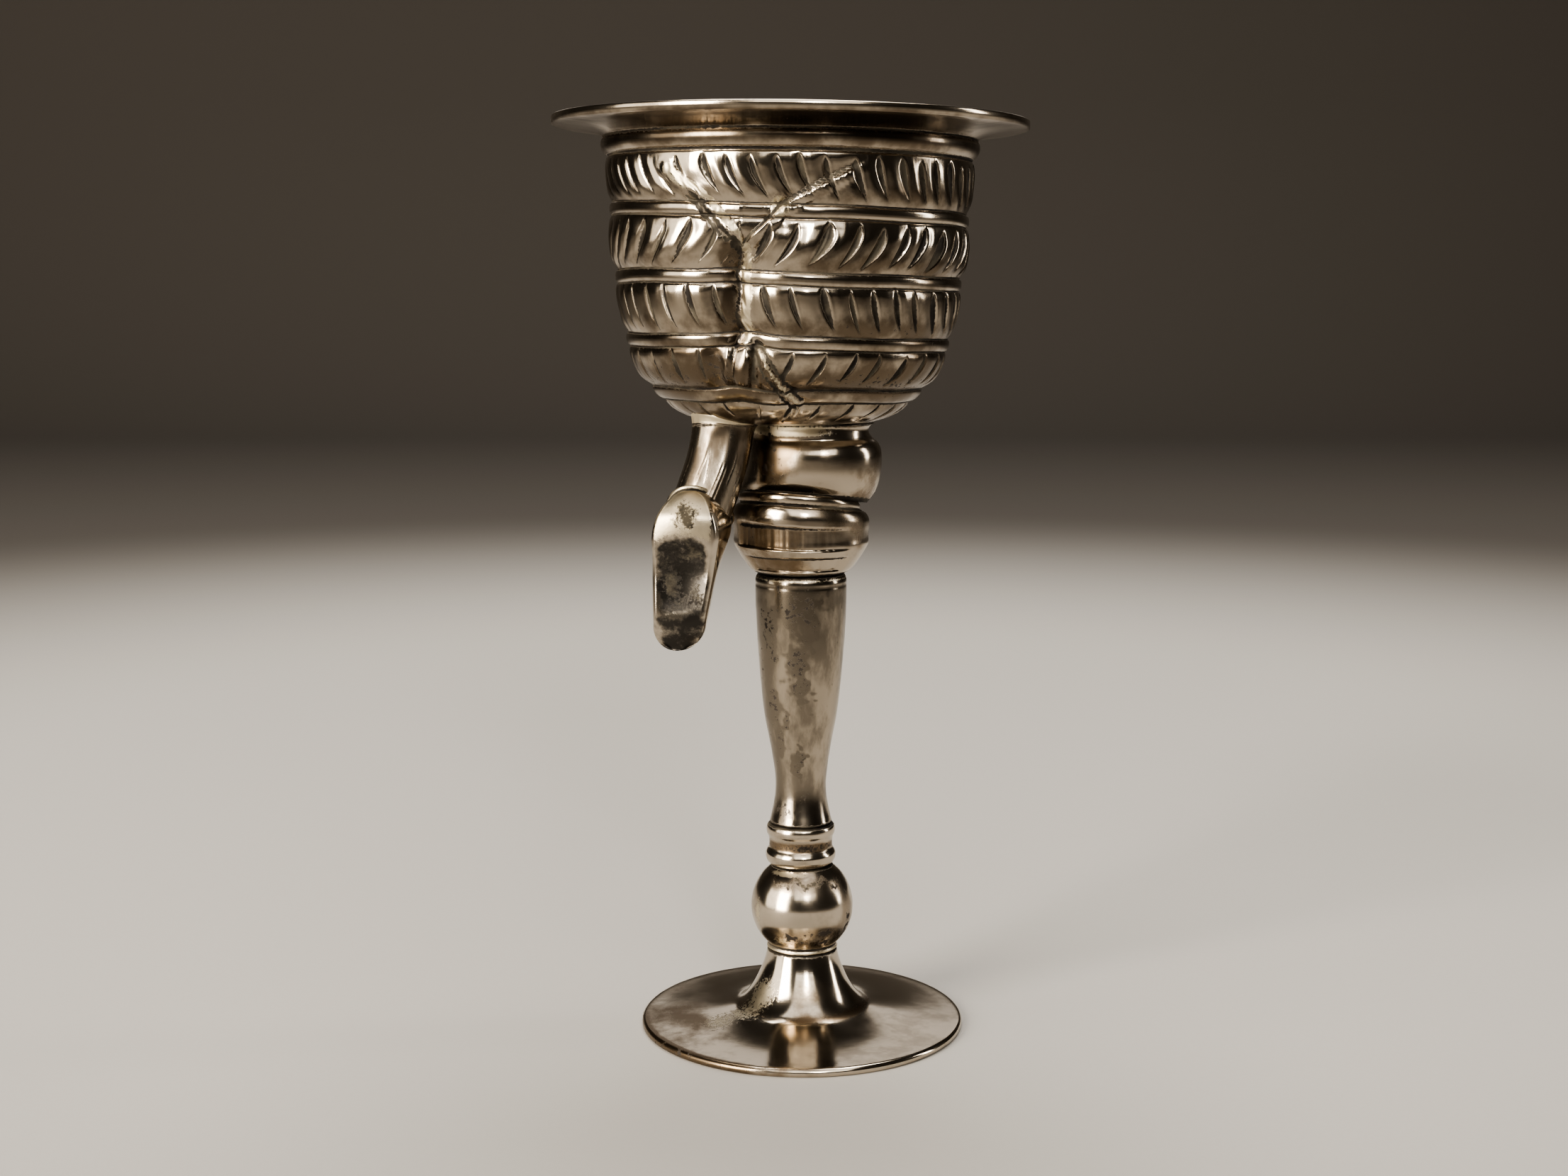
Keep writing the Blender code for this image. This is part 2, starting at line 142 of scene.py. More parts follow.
def flowing(points: Line, spacing: float) -> Field:
    """A smooth line through points, with a corner where a point is given twice.

    Args:
        points: (radius, height) pairs in mm.
        spacing: the longest step along the line in mm.

    Returns:
        The line's points, one row each.
    """
    knots = np.array(points, float)
    ends = np.concatenate([2 * knots[:1] - knots[1:2], knots, 2 * knots[-1:] - knots[-2:-1]])
    line = [knots[0]]
    for before, start, stop, after in zip(ends, ends[1:], ends[2:], ends[3:]):
        length = float(np.hypot(*(stop - start)))
        if length < TINY:
            continue
        if np.hypot(*(start - before)) < TINY:
            before = 2 * start - stop
        if np.hypot(*(after - stop)) < TINY:
            after = 2 * stop - start
        gaps = [math.sqrt(np.hypot(*(b - a))) for a, b in ((before, start), (start, stop), (stop, after))]
        leave = (start - before) / gaps[0] - (stop - before) / (gaps[0] + gaps[1])
        leave = (leave + (stop - start) / gaps[1]) * gaps[1]
        arrive = (stop - start) / gaps[1] - (after - start) / (gaps[1] + gaps[2])
        arrive = (arrive + (after - stop) / gaps[2]) * gaps[1]
        steps = max(1, math.ceil(length / spacing))
        for step in range(1, steps + 1):
            t = step / steps
            line.append(
                start * (2 * t**3 - 3 * t**2 + 1) + leave * (t**3 - 2 * t**2 + t)
                + stop * (3 * t**2 - 2 * t**3) + arrive * (t**3 - t**2)
            )
    return np.array(line)


# Meshes.


def add_spun(work: bmesh.types.BMesh, profile: Field, columns: int) -> None:
    """Turns a profile about Z inside a bmesh: spins an eighth of the turn, then doubles it round.

    Args:
        work: the bmesh, in mm.
        profile: (radius, height) rows.
        columns: how many steps the full turn has, a multiple of eight.
    """
    corners = [work.verts.new((radius, 0.0, height)) for radius, height in profile]
    edges = [work.edges.new(pair) for pair in zip(corners, corners[1:])]
    before = set(work.faces)
    bmesh.ops.spin(
        work, geom=corners + edges, cent=(0, 0, 0), axis=(0, 0, 1), dvec=(0, 0, 0),
        angle=math.tau / 8, steps=columns // 8, use_merge=False, use_duplicate=False,
    )
    for turn in (math.tau / 8, math.tau / 4, math.tau / 2):
        grown = [face for face in work.faces if face not in before]
        copied = bmesh.ops.duplicate(work, geom=grown)["geom"]
        copies = [part for part in copied if isinstance(part, bmesh.types.BMVert)]
        around = Matrix.Rotation(turn, 3, "Z")
        bmesh.ops.rotate(work, verts=copies, cent=(0, 0, 0), matrix=around)
    bmesh.ops.remove_doubles(work, verts=work.verts, dist=WELD)


def spun(name: str, outline: Field, columns: int) -> bpy.types.Mesh:
    """A closed mesh, spun from an outline.

    Args:
        name: the mesh's name.
        outline: (radius, height) rows from its top to its foot; the ends are brought to the axis.
        columns: how many steps the full turn has, a multiple of eight.

    Returns:
        The mesh, in mm.
    """
    work = bmesh.new()
    top, foot = (0.0, outline[0][1]), (0.0, outline[-1][1])
    add_spun(work, np.array([top, *outline, foot]), columns)
    return mesh_from(work, name)


def mesh_from(work: bmesh.types.BMesh, name: str) -> bpy.types.Mesh:
    """Turns a bmesh's faces outwards and makes it a mesh.

    Args:
        work: the bmesh, which is freed.
        name: the mesh's name.

    Returns:
        The mesh.
    """
    bmesh.ops.recalc_face_normals(work, faces=work.faces)
    mesh = bpy.data.meshes.new(name)
    work.to_mesh(mesh)
    work.free()
    return mesh


def stepped_in(
    work: bmesh.types.BMesh, lid: list[bmesh.types.BMFace], share: float, move: Vector
) -> list[bmesh.types.BMFace]:
    """Extrudes a flat lid, drawing it in about its middle.

    Args:
        work: the bmesh.
        lid: the lid's one face.
        share: its new size beside its old one.
        move: how far it moves.

    Returns:
        The new lid.
    """
    lid = bmesh.ops.extrude_discrete_faces(work, faces=lid)["faces"]
    middle = lid[0].calc_center_median()
    corners = list(lid[0].verts)
    bmesh.ops.scale(work, verts=corners, vec=(share,) * 3, space=Matrix.Translation(-middle))
    bmesh.ops.translate(work, verts=corners, vec=move)
    return lid


def linked(name: str, data: bpy.types.ID) -> bpy.types.Object:
    """Makes an object and puts it in the scene.

    Args:
        name: its name.
        data: the mesh, light or camera that it shows.

    Returns:
        The object.
    """
    made = bpy.data.objects.new(name, data)
    bpy.context.scene.collection.objects.link(made)
    return made


def places_of(mesh: bpy.types.Mesh) -> Field:
    """Reads a mesh's points.

    Args:
        mesh: the mesh.

    Returns:
        The points, one row each.
    """
    places = np.empty(len(mesh.vertices) * 3, np.float32)
    mesh.vertices.foreach_get("co", places)
    return places.reshape(-1, 3).astype(float)


# Finishes.


class Lines(Enum):
    """The way that a piece's fine working marks run: their sizes round, along and out, in mm."""

    UPRIGHT = (0.16, 7.0, 9.0)
    ROUND = (9.0, 0.2, 0.2)


@dataclass(frozen=True)
class Silver:
    """Old silver: bright metal under a thin brown haze, with specks, residue and solder."""

    name: str
    bright: Colour = (0.60, 0.535, 0.445)
    haze: Colour = (0.23, 0.175, 0.12)
    haze_share: float = 0.45
    haze_size: float = 9.0
    haze_start: float = 0.46
    speck: Colour = (0.055, 0.045, 0.037)
    speck_size: float = 1.1
    speck_start: float = 0.55
    speck_blur: float = 0.06
    patch_share: float = 1.0
    stretch: float = 1.0
    grime: Colour = (0.022, 0.017, 0.013)
    ash: Colour = (0.11, 0.095, 0.07)
    solder: Colour = (0.62, 0.55, 0.42)
    roughness: float = 0.17
    haze_roughness: float = 0.16
    wave: float = 0.3
    lines: Lines = Lines.UPRIGHT
    line_strength: float = 0.35
    middle: float = 0.0
    across: float = 34.0
    patch_ramp: tuple[float, float] = (0.3, 0.75)
    patch_cloud: float = 1.3
    patch_offset: float = 0.65
    stain_pull: float = 0.34
    grit_size: float = 0.55
    residue_ramp: tuple[float, float] = (0.26, 0.56)
    crust_ramp: tuple[float, float] = (0.32, 0.6)
    ash_ramp: tuple[float, float] = (0.42, 0.66)
    crust_roughness: float = 0.24
    dull_roughness: float = 0.38
    dull_share: float = 0.7
    wave_size: float = 3.2

    def material(self) -> bpy.types.Material:
        """Builds the finish as shader nodes on object coordinates.

        Returns:
            The material.
        """
        sheet = Recipe(self.name)
        place = sheet.add("ShaderNodeTexCoord").outputs["Object"]
        wear_and_painted_light = sheet.add("ShaderNodeAttribute", attribute_name=WEAR_AND_PAINTED_LIGHT)
        shares = sheet.add("ShaderNodeSeparateColor")
        sheet.join(wear_and_painted_light.outputs["Color"], shares.inputs["Color"])
        # The three shares drive residue, pale crust and brown patches; where a piece paints shade, highlight
        # or reflection into them, these carry it too.
        grime, solder, stain = (shares.outputs[i] for i in range(3))

        cloud = sheet.noise(sheet.drawn_out(place, self.stretch), self.haze_size, 5.0, 0.62)
        fine = sheet.noise(place, self.speck_size, 6.0, 0.68)
        haze = sheet.ramp(cloud, self.haze_start, self.haze_start + 0.2)
        haze = sheet.maths("MULTIPLY", haze, self.haze_share)
        patch = sheet.maths("SUBTRACT", stain, self.patch_offset)
        patch = sheet.maths("MULTIPLY_ADD", cloud, self.patch_cloud, patch)
        patch = sheet.maths("MULTIPLY", sheet.ramp(patch, *self.patch_ramp), self.patch_share)
        haze = sheet.maths("MAXIMUM", haze, patch)
        burnt = sheet.maths("SUBTRACT", fine, self.stain_pull)
        burnt = sheet.maths("MULTIPLY_ADD", stain, self.stain_pull, burnt)
        specks = sheet.ramp(burnt, self.speck_start, self.speck_start + self.speck_blur)

        grit = sheet.noise(place, self.grit_size, 6.0, 0.65)
        uneven = sheet.maths("SUBTRACT", grit, 0.5)
        residue = sheet.ramp(sheet.maths("ADD", grime, uneven), *self.residue_ramp)
        crust = sheet.ramp(sheet.maths("ADD", solder, uneven), *self.crust_ramp)

        colour = sheet.blend(haze, self.bright, self.haze)
        colour = sheet.blend(crust, colour, self.solder)
        colour = sheet.blend(specks, colour, self.speck)
        dirt = sheet.blend(sheet.ramp(cloud, *self.ash_ramp), self.grime, self.ash)
        colour = sheet.blend(residue, colour, dirt)

        dull = sheet.maths("MAXIMUM", specks, residue)
        rough = sheet.maths("MULTIPLY_ADD", haze, self.haze_roughness, self.roughness)
        rough = sheet.maths("MULTIPLY_ADD", crust, self.crust_roughness, rough)
        rough = sheet.maths("MULTIPLY_ADD", dull, self.dull_roughness, rough, clamp=True)
        metal = sheet.maths("SUBTRACT", 1.0, sheet.maths("MULTIPLY", dull, self.dull_share))

        wave = sheet.noise(place, self.wave_size, 2.0, 0.4)
        bump = sheet.bump(wave, self.wave, 0.05)
        marks = sheet.working_marks(place, self.lines, self.middle, self.across)
        bump = sheet.bump(marks, self.line_strength, 0.012, bump)
        pitted = sheet.maths("MULTIPLY", grit, sheet.maths("MAXIMUM", crust, residue))
        bump = sheet.bump(pitted, 0.45, 0.05, bump)
        sheet.fill(
            sheet.shader, {"Base Color": colour, "Roughness": rough, "Metallic": metal, "Normal": bump}
        )
        return sheet.material


class Recipe:
    """Writes the shader nodes of one finish or of the studio's paper."""

    def __init__(self, name: str) -> None:
        """Starts a material with a Principled shader.

        Args:
            name: the material's name.
        """
        self.material = bpy.data.materials.new(name)
        self.material.use_nodes = True
        self.tree = self.material.node_tree
        self.shader = self.tree.nodes["Principled BSDF"]

    def add(self, kind: str, **settings: object) -> bpy.types.Node:
        """Adds a node.

        Args:
            kind: the node's type.
            settings: its properties by name.

        Returns:
            The node.
        """
        node = self.tree.nodes.new(kind)
        for name, value in settings.items():
            setattr(node, name, value)
        return node

    def join(self, source: object, target: Socket) -> None:
        """Links a socket to an input, or sets the input to a plain number or colour.

        Args:
            source: a socket, a number, a colour or a vector.
            target: the input.
        """
        if isinstance(source, Socket):
            self.tree.links.new(source, target)
        elif isinstance(source, tuple):
            target.default_value = (*source, 1.0) if len(target.default_value) == 4 else source
        else:
            target.default_value = source

    def fill(self, node: bpy.types.Node, inputs: dict[str | int, object]) -> bpy.types.Node:
        """Joins sources to a node's inputs.

        Args:
            node: the node.
            inputs: a source for each input, by the input's name or number.

        Returns:
            The node.
        """
        for key, source in inputs.items():
            self.join(source, node.inputs[key])
        return node

    def maths(self, operation: str, *values: object, clamp: bool = False) -> Socket:
        """One Math node.

        Args:
            operation: the node's operation.
            values: a socket or a number for each of its inputs.
            clamp: whether the result is kept between 0 and 1.

        Returns:
            The result's socket.
        """
        node = self.add("ShaderNodeMath", operation=operation, use_clamp=clamp)
        return self.fill(node, dict(enumerate(values))).outputs[0]

    def noise(self, place: Socket, size: float, detail: float, rough: float) -> Socket:
        """Noise with lumps of a size in mm.

        Args:
            place: the coordinates.
            size: the size of its largest lumps in mm.
            detail: how many finer layers it has.
            rough: how strong the finer layers are.

        Returns:
            The noise, about 0 to 1.
        """
        inputs = {"Vector": place, "Scale": 1.0 / (size * MM), "Detail": detail, "Roughness": rough}
        return self.fill(self.add("ShaderNodeTexNoise"), inputs).outputs["Fac"]

    def ramp(self, source: Socket, low: float, high: float) -> Socket:
        """A smooth step from 0 to 1 between two values of a socket."""
        node = self.add("ShaderNodeMapRange", interpolation_type="SMOOTHSTEP")
        return self.fill(node, {"Value": source, "From Min": low, "From Max": high}).outputs["Result"]

    def drawn_out(self, place: Socket, stretch: float) -> Socket:
        """The coordinates, drawn out upwards by a share."""
        inputs = {"Vector": place, "Scale": (1.0, 1.0, 1.0 / stretch)}
        return self.fill(self.add("ShaderNodeMapping"), inputs).outputs["Vector"]

    def working_marks(self, place: Socket, lines: Lines, middle: float, across: float) -> Socket:
        """Fine lines that run up or round an upright axis.

        Args:
            place: the coordinates.
            lines: which way the lines run.
            middle: the axis' place along X in mm.
            across: the piece's usual radius in mm.

        Returns:
            Noise drawn out along the lines, about 0 to 1.
        """
        parts = self.add("ShaderNodeSeparateXYZ")
        self.join(place, parts.inputs[0])
        x = self.maths("SUBTRACT", parts.outputs[0], middle * MM)
        y = parts.outputs[1]
        round_wise, up_wise, out_wise = lines.value
        turn = self.maths("ARCTAN2", x, y)
        reach = self.maths("SQRT", self.maths("MULTIPLY_ADD", x, x, self.maths("MULTIPLY", y, y)))
        joined = self.fill(self.add("ShaderNodeCombineXYZ"), {
            0: self.maths("MULTIPLY", turn, across / round_wise),
            1: self.maths("MULTIPLY", parts.outputs[2], 1.0 / (up_wise * MM)),
            2: self.maths("MULTIPLY", reach, 1.0 / (out_wise * MM)),
        })
        inputs = {"Vector": joined.outputs[0], "Scale": 1.0, "Detail": 3.0}
        return self.fill(self.add("ShaderNodeTexNoise"), inputs).outputs["Fac"]

    def blend(self, share: Socket, first: object, second: object) -> Socket:
        """A colour mixed from two, by a share.

        Args:
            share: how much of the second colour shows.
            first: a socket or a colour.
            second: a socket or a colour.

        Returns:
            The mixed colour's socket.
        """
        node = self.add("ShaderNodeMix", data_type="RGBA")
        return self.fill(node, {0: share, 6: first, 7: second}).outputs[2]

    def bump(
        self, height: Socket, strength: float, depth: float, under: Socket | None = None
    ) -> Socket:
        """A bump of a depth in mm, laid on another one if there is one.

        Args:
            height: the height's socket, 0 to 1.
            strength: the bump's strength.
            depth: its depth in mm.
            under: the normal under it.

        Returns:
            The normal's socket.
        """
        inputs = {"Height": height, "Strength": strength, "Distance": depth * MM}
        if under is not None:
            inputs["Normal"] = under
        return self.fill(self.add("ShaderNodeBump"), inputs).outputs["Normal"]


# Marks on a round surface.


@dataclass(frozen=True)
class Around:
    """Points about an upright axis: radius in mm, angle in degrees from -Y, and height in mm."""

    radius: Field
    angle: Field
    height: Field

    @classmethod
    def of(cls, places: Field) -> "Around":
        """Reads points, one row each."""
        angle = np.degrees(np.arctan2(places[:, 0], -places[:, 1]))
        return cls(np.hypot(places[:, 0], places[:, 1]), angle, places[:, 2])

    def places(self) -> Field:
        """The points, one row each."""
        turn = np.radians(self.angle)
        return np.stack([self.radius * np.sin(turn), -self.radius * np.cos(turn), self.height], axis=1)

    def beside(self, angle: Field | float) -> Field:
        """How far each point lies to the right of an angle along the surface, in mm."""
        return np.radians(wrapped(self.angle - angle)) * self.radius

    def moved(self, outwards: Field | float = 0.0, upwards: Field | float = 0.0) -> "Around":
        """The points, moved by distances in mm."""
        return Around(self.radius + outwards, self.angle, self.height + upwards)


def line_offset(line: Line, radius: float, at: Around) -> tuple[Field, Field]:
    """How far points lie from a broken line drawn on a round wall.

    Args:
        line: the line's points, as (angle, height).
        radius: the wall's radius there, in mm.
        at: the points.

    Returns:
        The signed distance in mm, positive on the left of the line's direction, and the place
        along the line from 0 at its start to 1 at its end.
    """
    drawn = [(math.radians(angle) * radius, height) for angle, height in line]
    across, height = np.radians(at.angle) * radius, at.height
    best = np.full(across.shape, math.inf)
    signed = np.zeros(across.shape)
    place = np.zeros(across.shape)
    for i, ((x0, y0), (x1, y1)) in enumerate(zip(drawn, drawn[1:])):
        run, rise = x1 - x0, y1 - y0
        part = ((across - x0) * run + (height - y0) * rise) / math.hypot(run, rise) ** 2
        part = np.clip(part, 0.0, 1.0)
        gap = np.hypot(across - x0 - part * run, height - y0 - part * rise)
        side = np.sign(run * (height - y0) - rise * (across - x0))
        nearer = gap < best
        best = np.where(nearer, gap, best)
        signed = np.where(nearer, gap * side, signed)
        place = np.where(nearer, (i + part) / (len(drawn) - 1), place)
    return signed, place


@dataclass(frozen=True)
class Mark:
    """A soft mark: a bell in height and, where it has a width in degrees, in angle too."""

    amount: float
    height: float
    tall: float
    angle: float = 0.0
    wide: float = 0.0

    def level(self, height: Field) -> Field:
        """How strongly it shows at each height."""
        return bell(height - self.height, self.tall)

    def share(self, at: Around) -> Field:
        """How strongly it shows at each point."""
        shown = self.amount * self.level(at.height)
        return shown * bell(wrapped(at.angle - self.angle), self.wide) if self.wide else shown


Marks = tuple[Mark, ...]


@dataclass(frozen=True)
class Veil(Mark):
    """A mark that grows from its height to the height called tall, and stays beyond it."""

    def level(self, height: Field) -> Field:
        """See Mark."""
        return smoothstep(self.height, self.tall, height)


@dataclass(frozen=True)
class Ripple(Mark):
    """A mark whose height waves round the piece."""

    def share(self, at: Around) -> Field:
        """See Mark."""
        turn = np.radians(at.angle)
        wave = 0.5 * np.sin(9.0 * turn) + 0.35 * np.sin(17.0 * turn + math.radians(60.0))
        return super().share(at.moved(upwards=wave))


def marked(marks: Marks, at: Around) -> Field:
    """How strongly all of a piece's marks of one kind show at each point."""
    return sum((mark.share(at) for mark in marks), np.zeros(len(at.height)))


@dataclass(frozen=True)
class Layer:
    """What one feature adds to each point: relief in mm, and shares of residue, solder and shade."""

    relief: Field | float = 0.0
    residue: Field | float = 0.0
    solder: Field | float = 0.0
    shade: Field | float = 0.0

    def __add__(self, other: "Layer") -> "Layer":
        """Both layers together."""
        pairs = zip(vars(self).values(), vars(other).values())
        return Layer(*(mine + theirs for mine, theirs in pairs))

    def within(self, share: Field) -> "Layer":
        """The layer, faded to a share."""
        return Layer(*(amount * share for amount in vars(self).values()))


# The cup.


@dataclass(frozen=True)
class Skin:
    """Where each of the cup's points lies: its side, its share on the wall and its normal."""

    outside: Field
    on_wall: Field
    normal: Field


@dataclass(frozen=True)
class Band:
    """A chased ribbon between two grooves: its height, and how it falls and rises round the cup."""

    height: float
    fall: float
    rise: float


@dataclass(frozen=True)
class StrokeRow:
    """A row of chased strokes that stand for the breeches' slashes.

    Each stroke starts upright at its top and curves aside to its foot by its lean.
    """

    top: float
    foot: float
    count: int
    first: float
    lean: float
    left_lean: float
    turn_lean: float
    width: float
    depth: float
    fullest: float
    top_power: float
    foot_power: float
    radius: float
    shingle: float = 0.26
    lowest: float = 0.35
    size_spread: float = 0.14
    curving: float = 1.8

    def lean_at(self, angle: Field) -> Field:
        """The strokes' lean, since the two legs of the breeches may differ.

        Args:
            angle: each point's angle.

        Returns:
            The lean in mm.
        """
        right = between(-22.0, -6.0, 164.0, 176.0, angle)
        turn = self.turn_lean * np.sin(np.radians(angle))
        return self.left_lean + (self.lean - self.left_lean) * right + turn

    def part(self, height: Field) -> Field:
        """The share of a stroke above each height, 0 at its top and 1 at its foot."""
        return (self.top - height) / (self.top - self.foot)

    def shift(self, angle: Field, height: Field) -> Field:
        """How many degrees the strokes have curved aside at each height."""
        part = np.clip(self.part(height), 0.0, 1.0)
        return np.degrees(self.lean_at(angle) * part**self.curving / self.radius)

    def press(self, angle: Field, height: Field) -> tuple[Field, Field]:
        """The strokes as pressed in.

        Args:
            angle: each point's angle at the height of the row's top, before the lean.
            height: each point's height.

        Returns:
            The height of the surface in mm, negative where pressed in, and the residue, 0 to 1.
        """
        pitch = 360.0 / self.count
        turn = np.radians(angle)
        uneven = 0.8 * np.sin(7.0 * turn + self.top) + 0.45 * np.sin(17.0 * turn + self.foot)
        paced = (angle + uneven - self.first) / pitch
        index = np.round(paced) % self.count
        aside = paced - np.round(paced)
        offset = np.radians(aside * pitch) * self.radius
        part = self.part(height) + 0.05 * np.sin(1.9 * index + self.foot)
        share = self.fullness(part)
        size = 1.0 + self.size_spread * np.sin(3.7 * index + 0.5 * self.top)
        across = offset / np.maximum(share * self.width * size / 2.0, 1e-3)
        left, right = (across + 1.0) / (1.0 + self.lowest), (1.0 - across) / (1.0 - self.lowest)
        hollow = np.sin(np.pi / 2 * np.clip(np.minimum(left, right), 0.0, 1.0)) ** 1.2
        burr = 0.08 * bell(across - 1.2, 0.3) + 0.03 * bell(across + 1.25, 0.4)
        shingle = self.shingle * (0.5 - aside % 1.0)
        puff = 0.5 * self.shingle * np.cos(2.0 * np.pi * aside)
        puff = puff * between(-0.1, 0.3, 0.75, 1.15, part)
        surface = share**0.6 * (shingle - self.depth * hollow + burr) - puff
        return surface, hollow * share**0.5

    def fullness(self, part: Field) -> Field:
        """A stroke's width down its length.

        Args:
            part: the place down the stroke, 0 at its top and 1 at its foot.

        Returns:
            The width as a share of its greatest, 0 beyond the stroke's ends.
        """
        inside = (part > 0.0) & (part < 1.0)
        rising = np.sin(np.pi / 2 * np.clip(part / self.fullest, 0.0, 1.0)) ** self.top_power
        left_over = np.clip((part - self.fullest) / (1.0 - self.fullest), 0.0, 1.0)
        falling = np.cos(np.pi / 2 * left_over) ** self.foot_power
        return np.where(part < self.fullest, rising, falling) * inside


@dataclass
class Cup:
    """The raised and chased bowl of the goblet, one closed shell with its brim."""

    name: str = "breeches_cup"
    columns: int = 640
    inner_columns: int = 160
    crowding: float = 0.35
    row_steps: tuple[float, ...] = (0.42, 0.45, 0.62, 0.45, 0.75)
    wall: float = 1.1
    rim_radius: float = 45.6
    bottom: float = 121.25
    middle_radius: float = 12.0
    wall_top: tuple[float, float] = (173.0, 171.0)
    wall_foot: tuple[float, float] = (13.0, 17.0)
    roughness: float = 0.8
    bands: tuple[Band, ...] = (
        Band(160.85, 0.025, -0.2), Band(148.4, 0.017, 0.5), Band(136.7, 0.010, 0.6),
        Band(126.7, 0.0, 0.7),
    )
    band_rows: tuple[float, ...] = (
        1.65, 1.38, 1.2, 1.03, 0.8, 0.4, 0.0, -0.4, -0.8, -1.03, -1.2, -1.38,
    )
    band_spare: tuple[float, float] = (1.95, 1.75)
    rows: tuple[StrokeRow, ...] = (
        StrokeRow(170.4, 162.9, 47, -4.3, 3.2, 3.2, -1.0, 1.55, 0.42, 0.28, 0.6, 0.8, 34.8),
        StrokeRow(158.9, 150.2, 41, 3.2, -4.5, -4.5, 0.3, 2.0, 0.50, 0.42, 0.8, 0.9, 34.2, 0.3),
        StrokeRow(147.1, 138.6, 41, 1.0, 2.8, 2.4, 0.3, 1.5, 0.42, 0.38, 0.6, 0.7, 32.6, 0.2),
        StrokeRow(135.1, 129.0, 32, 1.0, -2.9, 0.2, 0.0, 1.5, 0.45, 0.45, 0.6, 0.8, 29.3, 0.14),
        StrokeRow(125.3, 122.6, 24, 1.0, -1.8, 1.6, 0.0, 1.2, 0.35, 0.35, 0.6, 0.8, 22.5, 0.12),
    )
    neck_outline: Line = (
        (45.6, 177.5), (45.6, 177.5), (44.9, 177.27), (42.8, 177.05), (40.6, 176.85),
        (38.4, 176.45), (37.0, 175.95), (36.05, 175.45), (35.75, 175.1), (35.75, 175.1),
        (36.0, 174.85), (36.2, 174.3), (36.25, 173.6), (36.1, 172.9), (35.8, 172.4),
        (35.45, 172.05), (35.1, 171.8), (34.85, 171.62), (34.8, 171.42), (34.95, 171.2),
    )
    wall_outline: Line = (
        (35.12, 170.95), (35.25, 169.8), (35.05, 166.0), (34.6, 162.6), (34.4, 160.85),
        (34.5, 158.5), (34.6, 155.5), (34.15, 152.0), (33.5, 149.6), (33.3, 148.4),
        (33.3, 147.0), (33.1, 144.5), (32.2, 140.4), (31.5, 138.0), (31.1, 136.7),
        (30.8, 135.4), (30.2, 133.2), (28.5, 130.0), (26.4, 127.8), (25.3, 126.7),
        (24.4, 125.8), (22.9, 124.5), (20.5, 122.95), (17.5, 121.9),
    )
    inner_heights: tuple[float, ...] = (176.6, 176.0, 175.0, 173.5)
    brim_top: Line = (
        (36.0, 177.3), (37.2, 177.5), (40.8, 178.1), (43.2, 178.55), (45.2, 178.98),
        (45.2, 178.98), (45.45, 178.93), (45.6, 178.75),
    )
    band_above: Line = (
        (0.0, 0.10), (0.4, 0.07), (0.8, -0.06), (1.03, -0.36), (1.2, -0.62), (1.38, -0.58),
        (1.7, -0.46), (2.3, -0.27), (3.0, -0.11), (4.0, 0.0),
    )
    band_below: Line = (
        (0.0, 0.10), (0.4, 0.07), (0.8, -0.06), (1.03, -0.36), (1.2, -0.52), (1.38, -0.32),
        (1.7, -0.14), (2.4, 0.0),
    )
    band_reach: float = 4.0
    groove: float = 1.2
    arches: Marks = (
        Mark(0.85, 136.9, 4.5, -15.0, 9.0), Mark(0.5, 126.7, 3.5, -22.0, 6.0),
        Mark(-0.4, 126.7, 3.0, -6.0, 7.0), Mark(0.35, 148.4, 4.0, -20.0, 7.0),
    )
    waist_radius: float = 34.5
    waist: Line = (
        (-41.2, 168.9), (-35.1, 165.9), (-28.0, 162.8), (-22.3, 159.3), (-14.6, 154.4),
        (-8.1, 158.4), (-2.5, 161.9), (9.4, 165.9), (18.7, 168.8), (26.0, 170.6),
    )
    right_crease: Line = (
        (-4.5, 0.0), (-2.6, -0.10), (-2.1, -0.05), (-1.85, 0.22), (-0.5, 0.34), (-0.35, 0.30),
        (-0.05, -0.75), (0.15, -0.90), (0.6, -0.80), (2.0, -0.50), (4.0, -0.24), (8.0, 0.0),
    )
    left_crease: Line = (
        (-3.2, 0.0), (-2.0, -0.12), (-1.75, -0.35), (-1.6, -0.42), (0.25, 0.28), (0.5, 0.20),
        (0.8, -0.10), (2.0, -0.22), (3.5, -0.12), (6.0, 0.0),
    )
    knot: tuple[float, float, float] = (-3.0, 161.6, 2.2)
    cleft: Line = (
        (128.0, -18.6), (130.0, -18.3), (135.2, -17.2), (141.6, -16.6), (150.0, -16.0),
        (155.0, -15.4),
    )
    cleft_depth: float = 2.9
    cleft_sides: tuple[float, float] = (2.8, 3.9)
    swell: tuple[float, float, float] = (1.0, 12.5, 7.5)
    tail_left: Line = ((128.8, -20.4), (133.2, -19.3), (137.0, -18.0))
    tail_right: Line = ((128.8, -14.2), (133.2, -12.6), (137.0, -12.4))
    seam_radius: float = 29.0
    seam: Line = (
        (-13.2, 135.9), (-9.3, 134.0), (-7.3, 131.9), (-3.4, 129.2), (-1.2, 127.9),
        (3.6, 126.0), (8.0, 124.6),
    )
    dent: Mark = Mark(-0.3, 176.0, 0.5, -10.0, 3.4)
    dent_radius: float = 37.4
    inner_seat: float = 0.85
    neck_grime: Mark = Mark(0.9, 171.5, 0.3)
    brim_grime: Mark = Mark(0.7, 175.1, 0.35)
    nicks: Mark = Mark(0.7, 0.0, ANYWHERE, -84.0, 9.0)
    stained: float = 0.12
    stain: Marks = (Mark(0.2, 0.0, ANYWHERE, -60.0, 40.0),)

